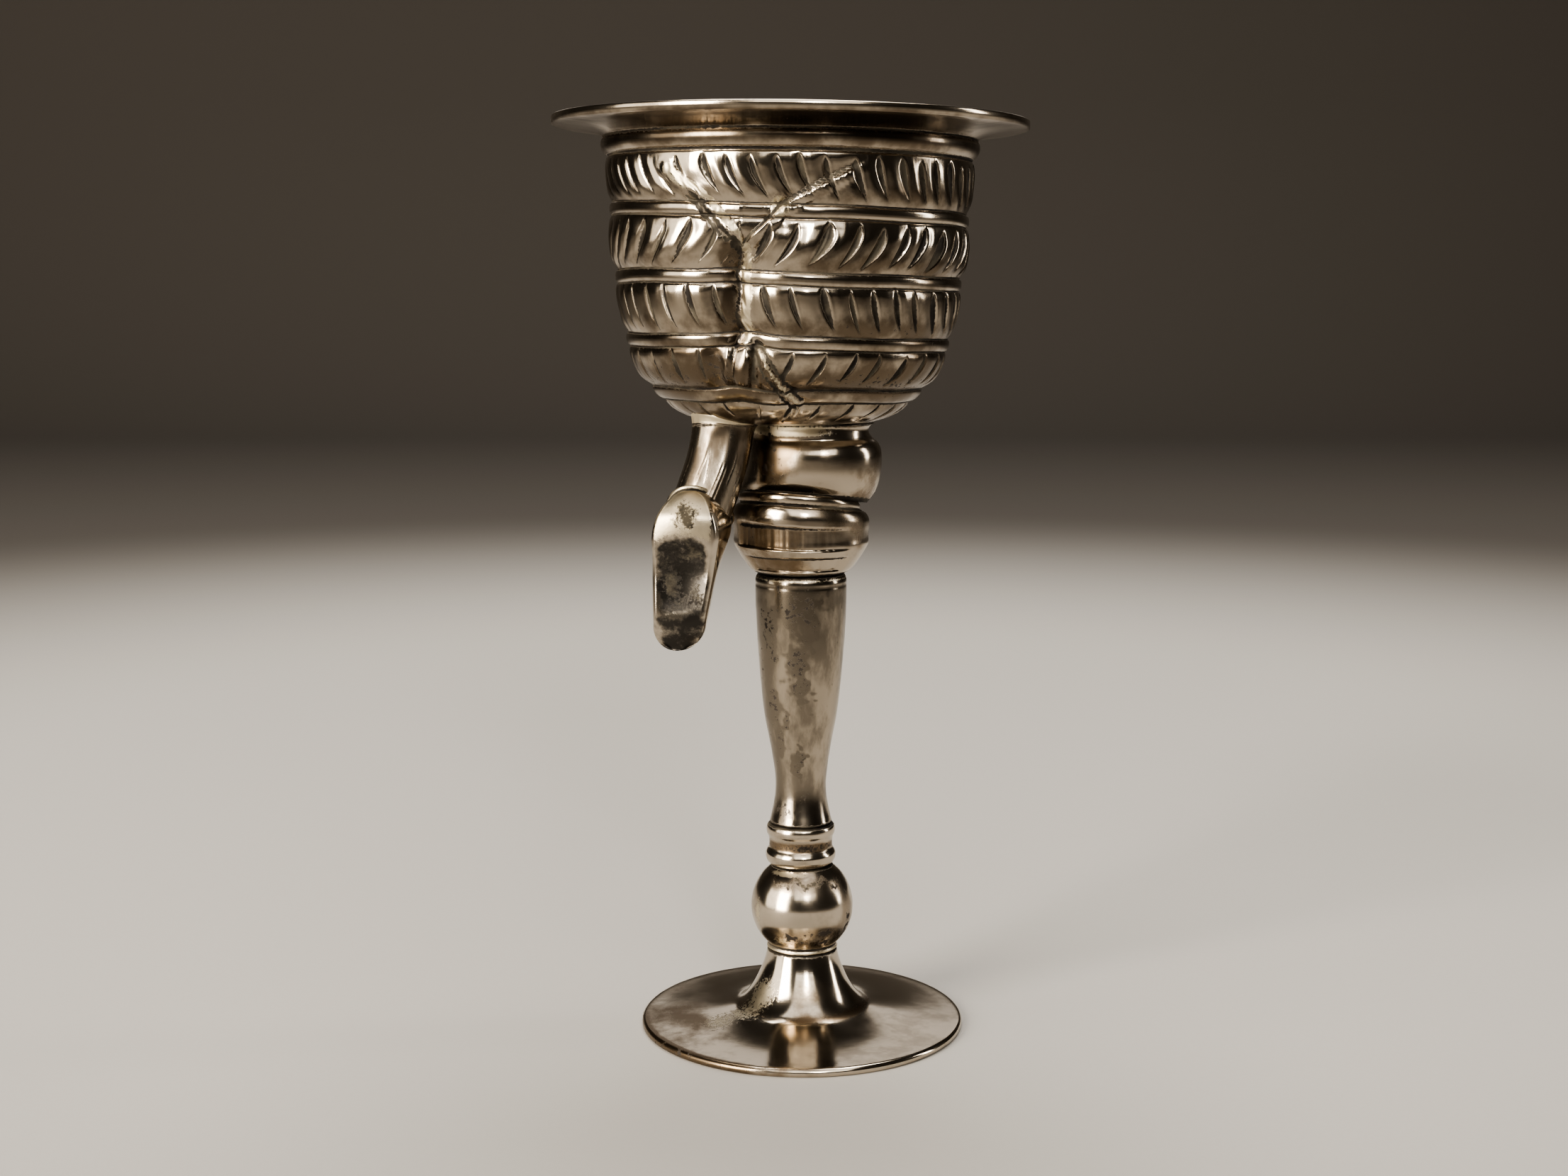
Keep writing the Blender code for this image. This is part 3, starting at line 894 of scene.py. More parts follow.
    def heights(self) -> list[float]:
        """The heights of the wall's rows: close together on the bands, wider between them.

        Returns:
            The heights from the top down.
        """
        found: list[float] = []
        over, under = self.band_spare
        tops = [self.wall_outline[0][1], *(band.height - under for band in self.bands)]
        feet = [*(band.height + over for band in self.bands), self.wall_outline[-1][1]]
        for i, (top, foot) in enumerate(zip(tops, feet)):
            count = round((top - foot) / self.row_steps[i])
            parts = np.arange(count + 1) / count
            parts = 0.8 * parts + 0.2 * (1.0 - np.cos(np.pi * parts)) / 2.0
            found += list(top + (foot - top) * parts)
            if i < len(self.bands):
                found += [self.bands[i].height + step for step in self.band_rows]
        return found

    def wall_radius(self, height: Field) -> Field:
        """The plain wall's outer radius.

        Args:
            height: where to read it.

        Returns:
            The radius in mm at each height.
        """
        line = flowing(self.wall_outline, 0.5)[::-1]
        neck = np.array(self.neck_outline[::-1])
        both = np.concatenate([line, neck[neck[:, 1] > line[-1, 1]]])
        return np.interp(height, both[:, 1], both[:, 0])

    def outer_profile(self) -> Field:
        """The outside's rows.

        Returns:
            (radius, height) rows, from the rim's lower edge down to the middle of the bottom.
        """
        wall = [(float(self.wall_radius(h)), h) for h in self.heights()]
        floor = [(self.middle_radius, self.bottom + 0.05), (0.0, self.bottom)]
        return np.array([*self.neck_outline[1:], *wall, *floor])

    def inner_profile(self) -> Field:
        """The inside's rows, a wall's thickness in from the outside.

        Returns:
            (radius, height) rows, from the middle of the bottom up and out to the rim's top edge.
        """
        lowest, highest, step = 123.6, 172.0, 1.0
        wall = []
        for height in [*np.linspace(lowest, highest, 24), *self.inner_heights[::-1]]:
            fall = float(self.wall_radius(height + step) - self.wall_radius(height - step))
            length = math.hypot(2 * step, fall)
            radius = float(self.wall_radius(min(height, highest)))
            wall.append((radius - self.wall * 2 * step / length, height + self.wall * fall / length))
        floor = self.bottom + self.wall
        start = [(0.0, floor), (6.0, floor), (self.middle_radius, floor + 0.1), (17.0, floor + 0.55)]
        wall = [point for point in wall if point[0] > 18.5]
        return np.array([*start, *wall, *flowing(self.brim_top, 0.9)])

    def wander(self, at: Around) -> Field:
        """How far the hand-chased lines rise and fall round the cup.

        Args:
            at: the points.

        Returns:
            The rise in mm.
        """
        bands = self.bands[::-1]
        levels = [self.bottom, *(band.height for band in bands), RIM_HEIGHT - 5.0]
        fall = np.interp(at.height, levels, [0.0, *(band.fall for band in bands), 0.0])
        rise = np.interp(at.height, levels, [0.0, *(band.rise for band in bands), 0.0])
        levels[-1] = RIM_HEIGHT - 7.0
        free = np.interp(at.height, levels, [0, *(1 for _ in bands), 0])
        turn = np.radians(at.angle)
        radius = self.wall_radius(at.height)
        drift = -fall * radius * np.sin(turn) + rise * radius * np.cos(turn) / self.rim_radius
        hand = 0.10 * np.sin(3.0 * turn + 0.11 * at.height) + 0.07 * np.sin(8.0 * turn + 0.23 * at.height)
        return drift + (hand + marked(self.arches, at)) * free

    def beside_cleft(self, at: Around) -> Field:
        """How far each point lies to the right of the cleft's line, in mm."""
        return at.beside(along(self.cleft, at.height))

    def seat(self, at: Around) -> Field:
        """The seat of the breeches: two rounded halves with the cleft between them.

        Args:
            at: the points.

        Returns:
            How far it stands out of the plain wall, in mm.
        """
        across = self.beside_cleft(at)
        width = np.where(across < 0.0, *self.cleft_sides)
        cleft = -self.cleft_depth / (1.0 + np.abs(across / width) ** 1.7)
        amount, middle, wide = self.swell
        swell = amount * bell(np.abs(across) - middle, wide)
        cleft = cleft * between(130.0, 138.0, 152.5, 157.5, at.height)
        return cleft + swell * between(124.0, 138.0, 153.0, 158.0, at.height)

    def waist_crease(self, at: Around, rough: Field) -> Layer:
        """The waist's crease: a ragged pale fold at the left with painted shadow below it, a steep one at
        the right.

        Args:
            at: the points.
            rough: fine noise, -1 to 1.

        Returns:
            The crease and the knot of solder beside it.
        """
        offset, place = line_offset(self.waist, self.waist_radius, at)
        left = smoothstep(0.47, 0.42, place)
        fade = smoothstep(171.0, 167.5, at.height) * smoothstep(34.0, 24.0, np.abs(at.angle + 9.0))
        low = smoothstep(0.13, 0.2, place)
        ragged = offset + 0.35 * rough
        facet = along(self.left_crease, ragged)
        pale = bell(ragged - 1.15, 0.65)
        # dark: painted shade on the facet below the fold and a painted shadow line at its foot, on the
        # fold's lower-left side.
        dark = 0.7 * bell(ragged + 0.5, 0.75) + 0.85 * bell(ragged + 1.7, 0.3)
        fold = Layer(facet + pale * (0.15 + 0.2 * rough), dark, 0.9 * pale)
        flakes = bell(ragged - 0.2, 1.3)
        flaked = Layer(flakes * (0.3 + 0.25 * rough), 0.5 * flakes * (rough > 0.2), 0.9 * flakes)
        steep = Layer(along(self.right_crease, offset), 0.9 * bell(offset - 0.15, 0.35))
        angle, height, wide = self.knot
        knot = bell(np.hypot(np.radians(at.angle - angle) * self.waist_radius, at.height - height), wide)
        top = (1.0 - low) * smoothstep(-0.01, 0.05, place)
        lump = Layer(0.35 * knot * (0.5 + rough), 0.0, 0.8 * knot)
        return fold.within(left * low) + flaked.within(left * top) + steep.within((1.0 - left) * fade) + lump

    def cleft_strip(self, at: Around, rough: Field) -> Layer:
        """The cleft's pale uneven strip, the dark groove beside it and painted shade at its left.

        Args:
            at: the points.
            rough: fine noise, -1 to 1.

        Returns:
            The strip.
        """
        valley = self.beside_cleft(at) + 0.3 * rough + 0.22 * np.sin(0.9 * at.height)
        strip = bell(valley - 1.1, 1.1)
        relief = strip * (0.34 + 0.24 * rough) - 0.28 * bell(valley + 0.5, 0.6)
        # The residue's wider, fainter term on the left flank is painted shade, and so is the shade share.
        residue = 0.62 * bell(valley + 0.5, 0.5) + 0.16 * bell(valley + 1.5, 1.1)
        layer = Layer(relief, residue, 0.95 * bell(valley - 1.15, 1.2), bell(valley + 2.2, 1.7))
        return layer.within(between(134.0, 138.0, 153.5, 156.5, at.height))

    def tail(self, at: Around, rough: Field) -> Layer:
        """The little tail under the cleft, with a smaller roll and a dish at its left that is darkened with
        painted shade.

        Args:
            at: the points.
            rough: fine noise, -1 to 1.

        Returns:
            The tail.
        """
        first, last = along(self.tail_left, at.height), along(self.tail_right, at.height)
        half = np.maximum(np.radians(last - first) / 2.0 * at.radius, 0.1)
        beside = at.beside((first + last) / 2.0)
        roll = np.sqrt(np.clip(1.0 - (beside / half) ** 2, 0.0, 1.0))
        second = bell(beside + half + 1.3, 0.9)
        dish = bell(at.beside(-26.8), 1.7) * smoothstep(136.0, 134.6, at.height)
        hollow = bell(beside - half - 0.5, 0.9)
        relief = roll + 0.45 * second * (1.0 + 0.4 * rough) - 0.75 * dish - 0.7 * hollow
        # In the dish, both the residue and the shade share are painted shade.
        residue = 0.15 * dish + 0.55 * hollow + 0.4 * bell(beside + half + 0.2, 0.35)
        layer = Layer(relief, residue, 0.0, dish)
        return layer.within(between(127.6, 129.4, 135.4, 137.2, at.height))

    def soldered_seam(self, at: Around, rough: Field) -> Layer:
        """The rough seam that runs down to the right from the tail.

        Args:
            at: the points.
            rough: fine noise, -1 to 1.

        Returns:
            The seam.
        """
        offset, place = line_offset(self.seam, self.seam_radius, at)
        offset = offset + 0.3 * rough
        beside = np.abs(offset) - 1.15
        relief = bell(offset, 0.75) * (0.5 + 0.3 * rough) - 0.35 * bell(beside, 0.4)
        residue = 0.8 * bell(beside, 0.35) + 0.35 * bell(offset + 0.3, 0.4)
        layer = Layer(relief, residue, 0.6 * bell(offset - 0.3, 0.5))
        return layer.within(between(0.0, 0.04, 0.85, 1.0, place))

    def calm(self, at: Around) -> Field:
        """Where the strokes fade out: at the cleft, the tail, the seam and the crease.

        Args:
            at: the points.

        Returns:
            How much of the strokes is left, 0 to 1.
        """
        cleft = smoothstep(3.4, 1.6, np.abs(self.beside_cleft(at))) * smoothstep(158.0, 153.0, at.height)
        tail = between(-31.0, -29.5, -11.5, -9.0, at.angle) * (at.height < 137.0) * (at.height > 127.5)
        seam, _ = line_offset(self.seam, self.seam_radius, at)
        waist, _ = line_offset(self.waist[:5], self.waist_radius, at)
        beside = smoothstep(1.0, 2.0, np.abs(seam)) * smoothstep(1.3, 2.2, np.abs(waist + 0.3))
        return (1.0 - cleft) * (1.0 - tail) * beside

    def under_cup(self, x: Field, y: Field) -> Field:
        """The height of the cup's underside.

        Args:
            x: each place along X, in mm.
            y: each place along Y, in mm.

        Returns:
            The height over each place, in mm.
        """
        line = flowing(self.wall_outline, 0.5)[::-1]
        radii = np.concatenate([[0.0, self.middle_radius], line[:, 0]])
        heights = np.concatenate([[self.bottom, self.bottom + 0.05], line[:, 1]])
        rising = np.argmax(radii)
        return np.interp(np.hypot(x, y), radii[:rising], heights[:rising]) - x * math.tan(CUP_TILT)

    def bands_layer(self, height: Field) -> Layer:
        """The ribbons, with residue in their grooves.

        Args:
            height: each point's height.

        Returns:
            The ribbons.
        """
        relief = np.zeros(height.shape)
        residue = np.zeros(height.shape)
        for band in self.bands:
            step = height - band.height
            shape = np.where(step > 0, along(self.band_above, step), along(self.band_below, -step))
            relief = relief + np.where(np.abs(step) < self.band_reach, shape, 0.0)
            residue = np.maximum(residue, bell(np.abs(step) - self.groove, 0.16))
        return Layer(relief, residue)

    def struck(self, at: Around) -> tuple[Around, Layer]:
        """The strokes of all rows. Each row turns what lies below it aside by its lean.

        Args:
            at: the points, before any stroke.

        Returns:
            The points turned aside, and the strokes.
        """
        turned = at.angle
        relief, residue = np.zeros(len(turned)), np.zeros(len(turned))
        for row in self.rows:
            pressed, dark = row.press(wrapped(turned), at.height)
            relief = relief + pressed
            residue = np.maximum(residue, dark)
            turned = turned + row.shift(at.angle, at.height)
        return replace(at, angle=wrapped(turned)), Layer(relief, residue)

    def chased(self, at: Around, strokes: Layer, rough: Field) -> Layer:
        """All that is chased into the wall's outside.

        Args:
            at: the points, turned aside by the strokes.
            strokes: the strokes.
            rough: fine noise, -1 to 1.

        Returns:
            The ribbons, the strokes and the drapery together.
        """
        bands, pressed = self.bands_layer(at.height), strokes.within(self.calm(at))
        drapery = self.waist_crease(at, rough) + self.cleft_strip(at, rough)
        drapery = drapery + self.tail(at, rough) + self.soldered_seam(at, rough)
        lumps = Layer(0.10 * rough * np.clip(drapery.solder, 0.0, 1.0))
        residue = np.maximum(bands.residue, pressed.residue)
        return Layer(bands.relief + pressed.relief, residue) + drapery + lumps

    def shaped(self, at: Around, places: Field, relief: Field, skin: Skin) -> Field:
        """The cup's final points.

        Args:
            at: the points, turned aside by the strokes.
            places: the points as they were spun.
            relief: what is chased into the outside, in mm.
            skin: the points' side and place on the wall.

        Returns:
            The points, one row each.
        """
        print_through = 0.2 * sum(bell(at.height - band.height, 1.5) for band in self.bands)
        relief = np.where(skin.outside, relief, -print_through) * skin.on_wall
        waves = 0.05 * grain(places, 7.0, 3.0) + 0.02 * grain(places, 2.6, 5.0)
        dent = self.dent.share(at) * bell(at.radius - self.dent_radius, 0.8)
        relief = relief + waves * smoothstep(45.3, 44.0, at.radius) + dent * skin.outside
        push = self.seat(at) * skin.on_wall * np.where(skin.outside, 1.0, self.inner_seat)
        risen = skin.normal[:, 1] * relief + self.wander(at) * skin.on_wall
        level = at.moved(skin.normal[:, 0] * relief + push, risen - RIM_HEIGHT).places()
        tilt = np.array(Matrix.Rotation(CUP_TILT, 3, "Y"))
        return level @ tilt.T + np.array([0.0, 0.0, RIM_HEIGHT])

    def wear_and_painted_light(self, at: Around, chased: Layer, rough: Field, skin: Skin) -> WearAndPaintedLight:
        """The cup's grime, solder and stain, with painted shade, a painted highlight and painted dark
        reflections mixed into the stain.

        Args:
            at: the points, turned aside by the strokes.
            chased: what is chased into the outside.
            rough: fine noise, -1 to 1.
            skin: the points' side and place on the wall.

        Returns:
            Three shares for each point.
        """
        neck = self.neck_grime.share(at) * (at.radius < 35.3)
        brim = self.brim_grime.share(at) * bell(at.radius - 35.8, 0.5)
        nicks = self.nicks.share(at) * smoothstep(45.2, 45.6, at.radius) * (rough > 0.1)
        grime = chased.residue * skin.on_wall + neck + brim + nicks
        over_bands = sum(bell(at.height - band.height - 3.0, 2.3) for band in self.bands)
        # painted_highlight: the upper left, where the key light's highlight falls, is kept lighter by
        # holding back the darkening.
        painted_highlight = smoothstep(-12.0, -26.0, at.angle) * smoothstep(136.0, 139.0, at.height)
        # painted_dark_reflection: the lower rows and the right side are painted darker, standing in for the
        # dark surroundings that they reflect.
        painted_dark_reflection = 0.32 * smoothstep(150.0, 130.0, at.height) * (1.0 - 0.9 * painted_highlight)
        painted_dark_reflection = painted_dark_reflection + 0.20 * smoothstep(-5.0, 45.0, at.angle) - 0.12 * painted_highlight
        # chased.shade is painted shade, beside the cleft and in the tail's dish; it darkens the stain here.
        stain = marked(self.stain, at) + painted_dark_reflection + 0.34 * over_bands + 0.6 * chased.shade
        # Off the wall, on the outside (brim underside, bead, neck and the bottom's middle), the stain is
        # raised: a painted dark reflection.
        stain = self.stained + stain * skin.on_wall + 0.5 * (1.0 - skin.on_wall) * skin.outside
        return grime * skin.outside, chased.solder * skin.on_wall * skin.outside, stain

    def build(self, finish: Silver) -> bpy.types.Object:
        """Builds the cup.

        Args:
            finish: its finish.

        Returns:
            The piece.
        """
        outer, inner = self.outer_profile(), self.inner_profile()
        work = bmesh.new()
        add_spun(work, outer, self.columns)
        add_spun(work, inner, self.inner_columns)
        bmesh.ops.bridge_loops(work, edges=[edge for edge in work.edges if edge.is_boundary])
        mesh = mesh_from(work, self.name)
        places = places_of(mesh)
        plain = Around.of(places)
        row = nearest_row(np.concatenate([outer, inner]), plain)
        on_wall = smoothstep(*self.wall_top, plain.height) * smoothstep(*self.wall_foot, plain.radius)
        normal = np.concatenate([outward(outer), -outward(inner)])[row]
        skin = Skin(row < len(outer), on_wall, normal)
        crowded = plain.angle - np.degrees(self.crowding * np.sin(np.radians(plain.angle)))
        at, strokes = self.struck(replace(plain, angle=crowded))
        rough = grain(places, self.roughness)
        chased = self.chased(at, strokes, rough)
        final = self.shaped(at, places, chased.relief, skin)
        wear_and_painted_light = self.wear_and_painted_light(at, chased, rough, skin)
        return finished(mesh, final, wear_and_painted_light, finish, "bowl")


def nearest_row(profile: Field, at: Around, batch: int = 20000) -> Field:
    """The row of a profile that each point was spun from.

    Args:
        profile: (radius, height) rows.
        at: the points.
        batch: how many points are compared at a time.

    Returns:
        The row's number for each point.
    """
    found = np.empty(len(at.radius), int)
    for start in range(0, len(found), batch):
        part = slice(start, start + batch)
        beside, above = (at.radius[part, None] - profile[:, 0]), (at.height[part, None] - profile[:, 1])
        found[part] = (beside**2 + above**2).argmin(axis=1)
    return found


def outward(profile: Field) -> Field:
    """The normals of a profile.

    Args:
        profile: (radius, height) rows that run down the outer side.

    Returns:
        A unit normal for each row.
    """
    run = np.gradient(profile, axis=0)
    normal = np.stack([-run[:, 1], run[:, 0]], axis=1)
    return normal / np.maximum(np.hypot(normal[:, 0], normal[:, 1]), 1e-9)[:, None]


def finished(
    mesh: bpy.types.Mesh, places: Field, wear_and_painted_light: WearAndPaintedLight, finish: Silver, node: str
) -> bpy.types.Object:
    """Makes a mesh into a piece: its final points, its wear, its finish and its place on the frame.

    Args:
        mesh: the mesh whose points move.
        places: the points' final places in mm.
        wear_and_painted_light: for each point the grime, the solder and the stain, 0 to 1.
        finish: its finish.
        node: the CAD node that it stands for.

    Returns:
        The piece, at the origin and shaded smooth.
    """
    mesh.vertices.foreach_set("co", (places * MM).astype(np.float32).ravel())
    layer = mesh.attributes.new(WEAR_AND_PAINTED_LIGHT, "FLOAT_COLOR", "POINT")
    shares = np.stack([*(np.clip(share, 0.0, 1.0) for share in wear_and_painted_light), np.ones(len(places))], axis=1)
    layer.data.foreach_set("color", shares.astype(np.float32).ravel())
    mesh.shade_smooth()
    mesh.update()
    mesh.materials.append(finish.material())
    piece = linked(mesh.name, mesh)
    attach(piece, BODY)
    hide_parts(node)
    LOG.info("%s stands for %s with %d faces", piece.name, node, len(mesh.polygons))
    return piece


# The stem.


@dataclass
class Turned:
    """A turned piece of the stem: an outline spun about its axis, then worked outside its core."""

    name: str
    node: str
    slot: str
    outline: Line
    centre: float = STEM_X
    columns: int = 160
    spacing: float = 0.35
    uneven: float = 0.05
    core: float = 8.0
    stained: float = 0.3
    grime: Marks = ()
    solder: Marks = ()
    stain: Marks = ()

    def build(self, finish: Silver) -> bpy.types.Object:
        """Builds the piece.

        Args:
            finish: its finish.

        Returns:
            The piece.
        """
        mesh = spun(self.name, flowing(self.outline, self.spacing), self.columns)
        places = places_of(mesh)
        at = Around.of(places)
        moved = self.worked(at)
        hammered = self.uneven * grain(places, 6.0, self.outline[0][1])
        hammered = hammered + 0.35 * self.uneven * grain(places, 2.4, self.outline[0][0])
        moved[:, :2] *= (1.0 + hammered / np.maximum(at.radius, self.core / 2.0))[:, None]
        moved[:, 0] += self.centre
        return finished(mesh, moved, self.wear_and_painted_light(at), finish, self.node)

    def worked(self, at: Around) -> Field:
        """The piece's shape beyond what the turning gives.

        Args:
            at: the points as spun.

        Returns:
            The points about the piece's own axis, one row each.
        """
        return at.places()

    def wear_and_painted_light(self, at: Around) -> WearAndPaintedLight:
        """The piece's grime, solder and stain, from its marks.

        Args:
            at: the points as spun.

        Returns:
            Three shares for each point.
        """
        grime, solder, stain = (marked(marks, at) for marks in (self.grime, self.solder, self.stain))
        return grime, solder, self.stained + stain

    def slanted(self, moved: Field, share: Field) -> Field:
        """Points about the piece's axis, slanted by a share like the joint of stump and cushion."""
        rise = -0.077 * (moved[:, 0] + self.centre - STEM_X) - 0.12 * moved[:, 1]
        return np.column_stack([moved[:, :2], moved[:, 2] + share * rise])


@dataclass
class Stump(Turned):
    """The end of the short leg, soldered under the cup, fuller towards the other leg."""

    name: str = "thigh_stump"
    node: str = "knee_stump"
    slot: str = "stump_silver"
    centre: float = 5.5
    columns: int = 224
    outline: Line = (
        (10.9, 121.35), (10.3, 121.0), (9.85, 120.4), (9.75, 119.7), (10.0, 119.1),
        (10.6, 118.3), (11.6, 117.4), (12.25, 116.0), (12.4, 114.2), (12.15, 111.4),
        (11.3, 108.9), (10.2, 107.4), (9.6, 106.5),
    )
    reach: Line = ((106.5, 15.6), (110.0, 14.6), (114.2, 13.9), (119.5, 13.3), (121.4, 14.2))
    fillet: Mark = Mark(1.1, 119.7, 1.3, -8.0, 58.0)
    stained: float = 0.26
    grime: Marks = (Mark(0.95, 106.6, 0.7), Mark(0.5, 121.2, 0.4))
    solder: Marks = (Veil(0.9, 118.6, 119.6, -30.0, 45.0),)
    stain: Marks = (Veil(0.6, 108.0, 113.0, -42.0, 24.0), Veil(0.35, 110.0, 107.0))

    def worked(self, at: Around) -> Field:
        """See Turned: the left side is filled out and the foot slants to the cushion."""
        moved = at.moved(self.fillet.share(at) * (at.radius > self.core)).places()
        plain = flowing(self.outline, 0.3)[::-1]
        full = np.interp(at.height, plain[:, 1], plain[:, 0])
        left = smoothstep(0.5, -0.5, moved[:, 0])
        moved[:, 0] *= 1.0 + left * (along(self.reach, at.height) / full - 1.0)
        moved = self.slanted(moved, smoothstep(114.4, 106.4, at.height))
        under_cup = smoothstep(118.0, 121.4, at.height)
        moved[:, 2] -= under_cup * math.tan(CUP_TILT) * (moved[:, 0] + self.centre)
        return moved


@dataclass
class Cushion(Turned):
    """The knee cushion: a rolled lip, a full roll and two filed flutes under it."""

    name: str = "knee_roll"
    node: str = "knee_cushion"
    slot: str = "cushion_silver"
    columns: int = 288
    spacing: float = 0.22
    outline: Line = (
        (9.6, 106.45), (10.4, 106.85), (11.2, 106.95), (11.85, 106.6), (12.2, 106.0),
        (12.2, 105.4), (12.0, 104.95), (11.85, 104.75), (11.85, 104.75), (12.5, 104.5),
        (13.05, 103.8), (13.4, 102.8), (13.45, 101.7), (13.4, 100.4), (13.35, 99.0),
        (13.35, 97.9), (13.1, 97.2), (12.6, 96.4), (12.1, 95.6), (11.3, 94.4), (10.4, 93.2),
        (9.7, 92.5), (9.0, 92.05), (8.6, 91.95),
    )
    stained: float = 0.28
    grime: Marks = (Mark(0.95, 104.8, 0.3), Mark(0.9, 92.0, 0.45))
    solder: Marks = (Veil(0.1, 105.3, 105.9),)
    stain: Marks = (Mark(0.3, 0.0, ANYWHERE, -62.0, 45.0), Veil(0.1, 104.8, 105.4))

    def flutes(self, at: Around) -> tuple[Field, Field]:
        """The two filed flutes across the cushion's front, fainter at its back.

        Args:
            at: the points.

        Returns:
            The share of each flute's cut, upper and lower.
        """
        back = 0.6 * smoothstep(112.0, 130.0, np.abs(at.angle))
        sway = 0.25 * np.sin(np.radians(at.angle * 2.0 + 40.0))
        upper = between(97.35, 97.75, 101.25, 101.75, at.height + sway)
        lower = between(92.75, 93.2, 95.55, 96.05, at.height)
        front = between(-70.0, -60.0, 26.0, 52.0, at.angle)
        low_front = between(-64.0, -55.0, 40.0, 54.0, at.angle)
        return upper * np.maximum(front, back), lower * np.maximum(low_front, back)

    @staticmethod
    def ribs(angle: Field, count: float, start: float, power: float) -> Field:
        """Ribs round the cushion, 0 to 1; a lower power makes them fuller."""
        return np.abs(np.sin(np.radians(angle * count + start))) ** power

    def worked(self, at: Around) -> Field:
        """See Turned: the upper part slants and the front is filed."""
        upper, lower = self.flutes(at)
        ribs = 0.8 * self.ribs(at.angle, 7.0, 25.0, 0.8) + 0.45 * self.ribs(at.angle, 26.0, 0.0, 0.7)
        low_ribs = self.ribs(at.angle, 9.0, 10.0, 0.8)
        cut = upper * (0.95 - 0.22 * ribs) + lower * (0.75 - 0.15 * low_ribs)
        flats = 0.22 * self.ribs(at.angle, 5.5, 8.0, 1.0) * bell(at.height - 99.5, 2.6)
        lip = smoothstep(104.8, 105.1, at.height) * (at.radius > 10.0)
        thin = 0.7 * smoothstep(10.0, 60.0, at.angle) * lip
        filed = thin + flats * (1.0 - upper) + cut * (at.radius > self.core)
        return self.slanted(at.moved(-filed).places(), smoothstep(98.2, 106.4, at.height))

    def wear_and_painted_light(self, at: Around) -> WearAndPaintedLight:
        """See Turned: painted shadow under each flute's upper edge, and stain on the flutes."""
        grime, solder, stain = super().wear_and_painted_light(at)
        upper, lower = self.flutes(at)
        joint = 0.95 * bell(at.height - 106.8, 0.5) * (at.radius < 11.6)
        # cut: painted shadow at the top of each flute, under the edge that overhangs it.
        cut = upper * bell(at.height - 101.3, 0.35) + lower * bell(at.height - 95.7, 0.3)
        return grime + joint + 0.8 * cut, solder, stain + 0.25 * upper + 0.2 * lower


@dataclass
class Peg(Turned):
    """The turned baluster peg leg."""

    name: str = "peg_leg"
    node: str = "peg"
    slot: str = "peg_silver"
    columns: int = 192
    spacing: float = 0.5
    outline: Line = (
        (7.6, 91.85), (8.2, 91.75), (8.7, 91.3), (8.95, 90.6), (8.99, 90.0), (8.93, 89.7),
        (8.93, 89.7), (8.99, 89.3), (8.98, 87.5), (8.93, 84.8),
        (8.6, 78.0), (7.95, 70.2), (7.15, 63.2), (6.05, 57.4), (5.28, 52.6), (5.05, 49.8),
        (5.2, 46.8), (5.7, 43.9), (6.1, 42.2), (6.2, 41.6), (5.9, 41.35),
    )
    spots: tuple[tuple[float, float, float, float], ...] = (
        (-12.0, 85.4, 2.9, 5.4), (10.0, 86.8, 3.6, 2.0), (10.0, 83.2, 3.0, 1.4),
        (-50.0, 83.0, 3.4, 4.6), (-46.0, 77.0, 2.0, 3.0), (-6.0, 75.4, 3.2, 4.4),
        (-4.0, 69.6, 2.4, 2.2), (-46.0, 66.0, 2.2, 5.0), (-42.0, 59.0, 1.8, 4.0),
        (-10.0, 54.0, 1.4, 2.2), (6.0, 47.5, 1.6, 2.0), (-34.0, 45.0, 2.6, 2.0),
        (120.0, 80.0, 3.5, 5.0), (-150.0, 66.0, 3.0, 4.0), (160.0, 86.0, 3.0, 3.0),
    )
    stained: float = 0.34
    grime: Marks = (Mark(0.9, 91.9, 0.5), Mark(0.9, 41.4, 0.5))
    solder: Marks = (Mark(0.5, 91.0, 0.4),)
    stain: Marks = (Mark(0.34, 0.0, ANYWHERE, -58.0, 30.0),)

    def wear_and_painted_light(self, at: Around) -> WearAndPaintedLight:
        """See Turned: black specks gather in spots, and smoke at the upper front."""
        grime, solder, stain = super().wear_and_painted_light(at)
        unrolled = np.stack([np.radians(at.angle) * at.radius, at.height, 0.0 * at.height], axis=1)
        ragged = 1.0 + 0.6 * grain(unrolled, 1.4) + 0.4 * grain(unrolled, 0.7, 4.0)
        for angle, height, wide, tall in self.spots:
            near = np.hypot(at.beside(angle) / wide, (at.height - height) / tall)
            near = bell(near * ragged, 1.1)
            stain = np.maximum(stain, 1.12 * near)
        smoke = smoothstep(79.5, 81.0, at.height + 1.3 * np.sin(np.radians(4.0 * at.angle)))
        smoke = smoke * bell(wrapped(at.angle - 6.0), 34.0) * smoothstep(91.0, 90.0, at.height)
        return grime, solder, np.maximum(stain, 0.74 * smoke)


@dataclass
class Collar(Turned):
    """The two rings under the peg, black at the waist between them."""

    name: str = "double_ring"
    node: str = "ring_collar"
    slot: str = "collar_silver"
    spacing: float = 0.2
    outline: Line = (
        (5.9, 41.3), (6.35, 41.2), (6.7, 40.8), (6.85, 40.1), (6.78, 39.4), (6.5, 38.8),
        (6.35, 38.1), (6.3, 37.2), (6.38, 36.4), (6.7, 35.9), (6.98, 35.3), (7.0, 34.6),
        (6.75, 33.8), (6.3, 33.2), (5.9, 32.9),
    )
    grime: Marks = (
        Mark(0.9, 41.3, 0.4), Mark(0.9, 32.9, 0.35), Mark(0.27, 37.3, 1.0),
        Mark(0.24, 37.3, 1.0, 12.0, 50.0),
    )
    stain: Marks = (Mark(0.45, 37.3, 1.0), Mark(0.4, 37.3, 1.0, 12.0, 50.0))


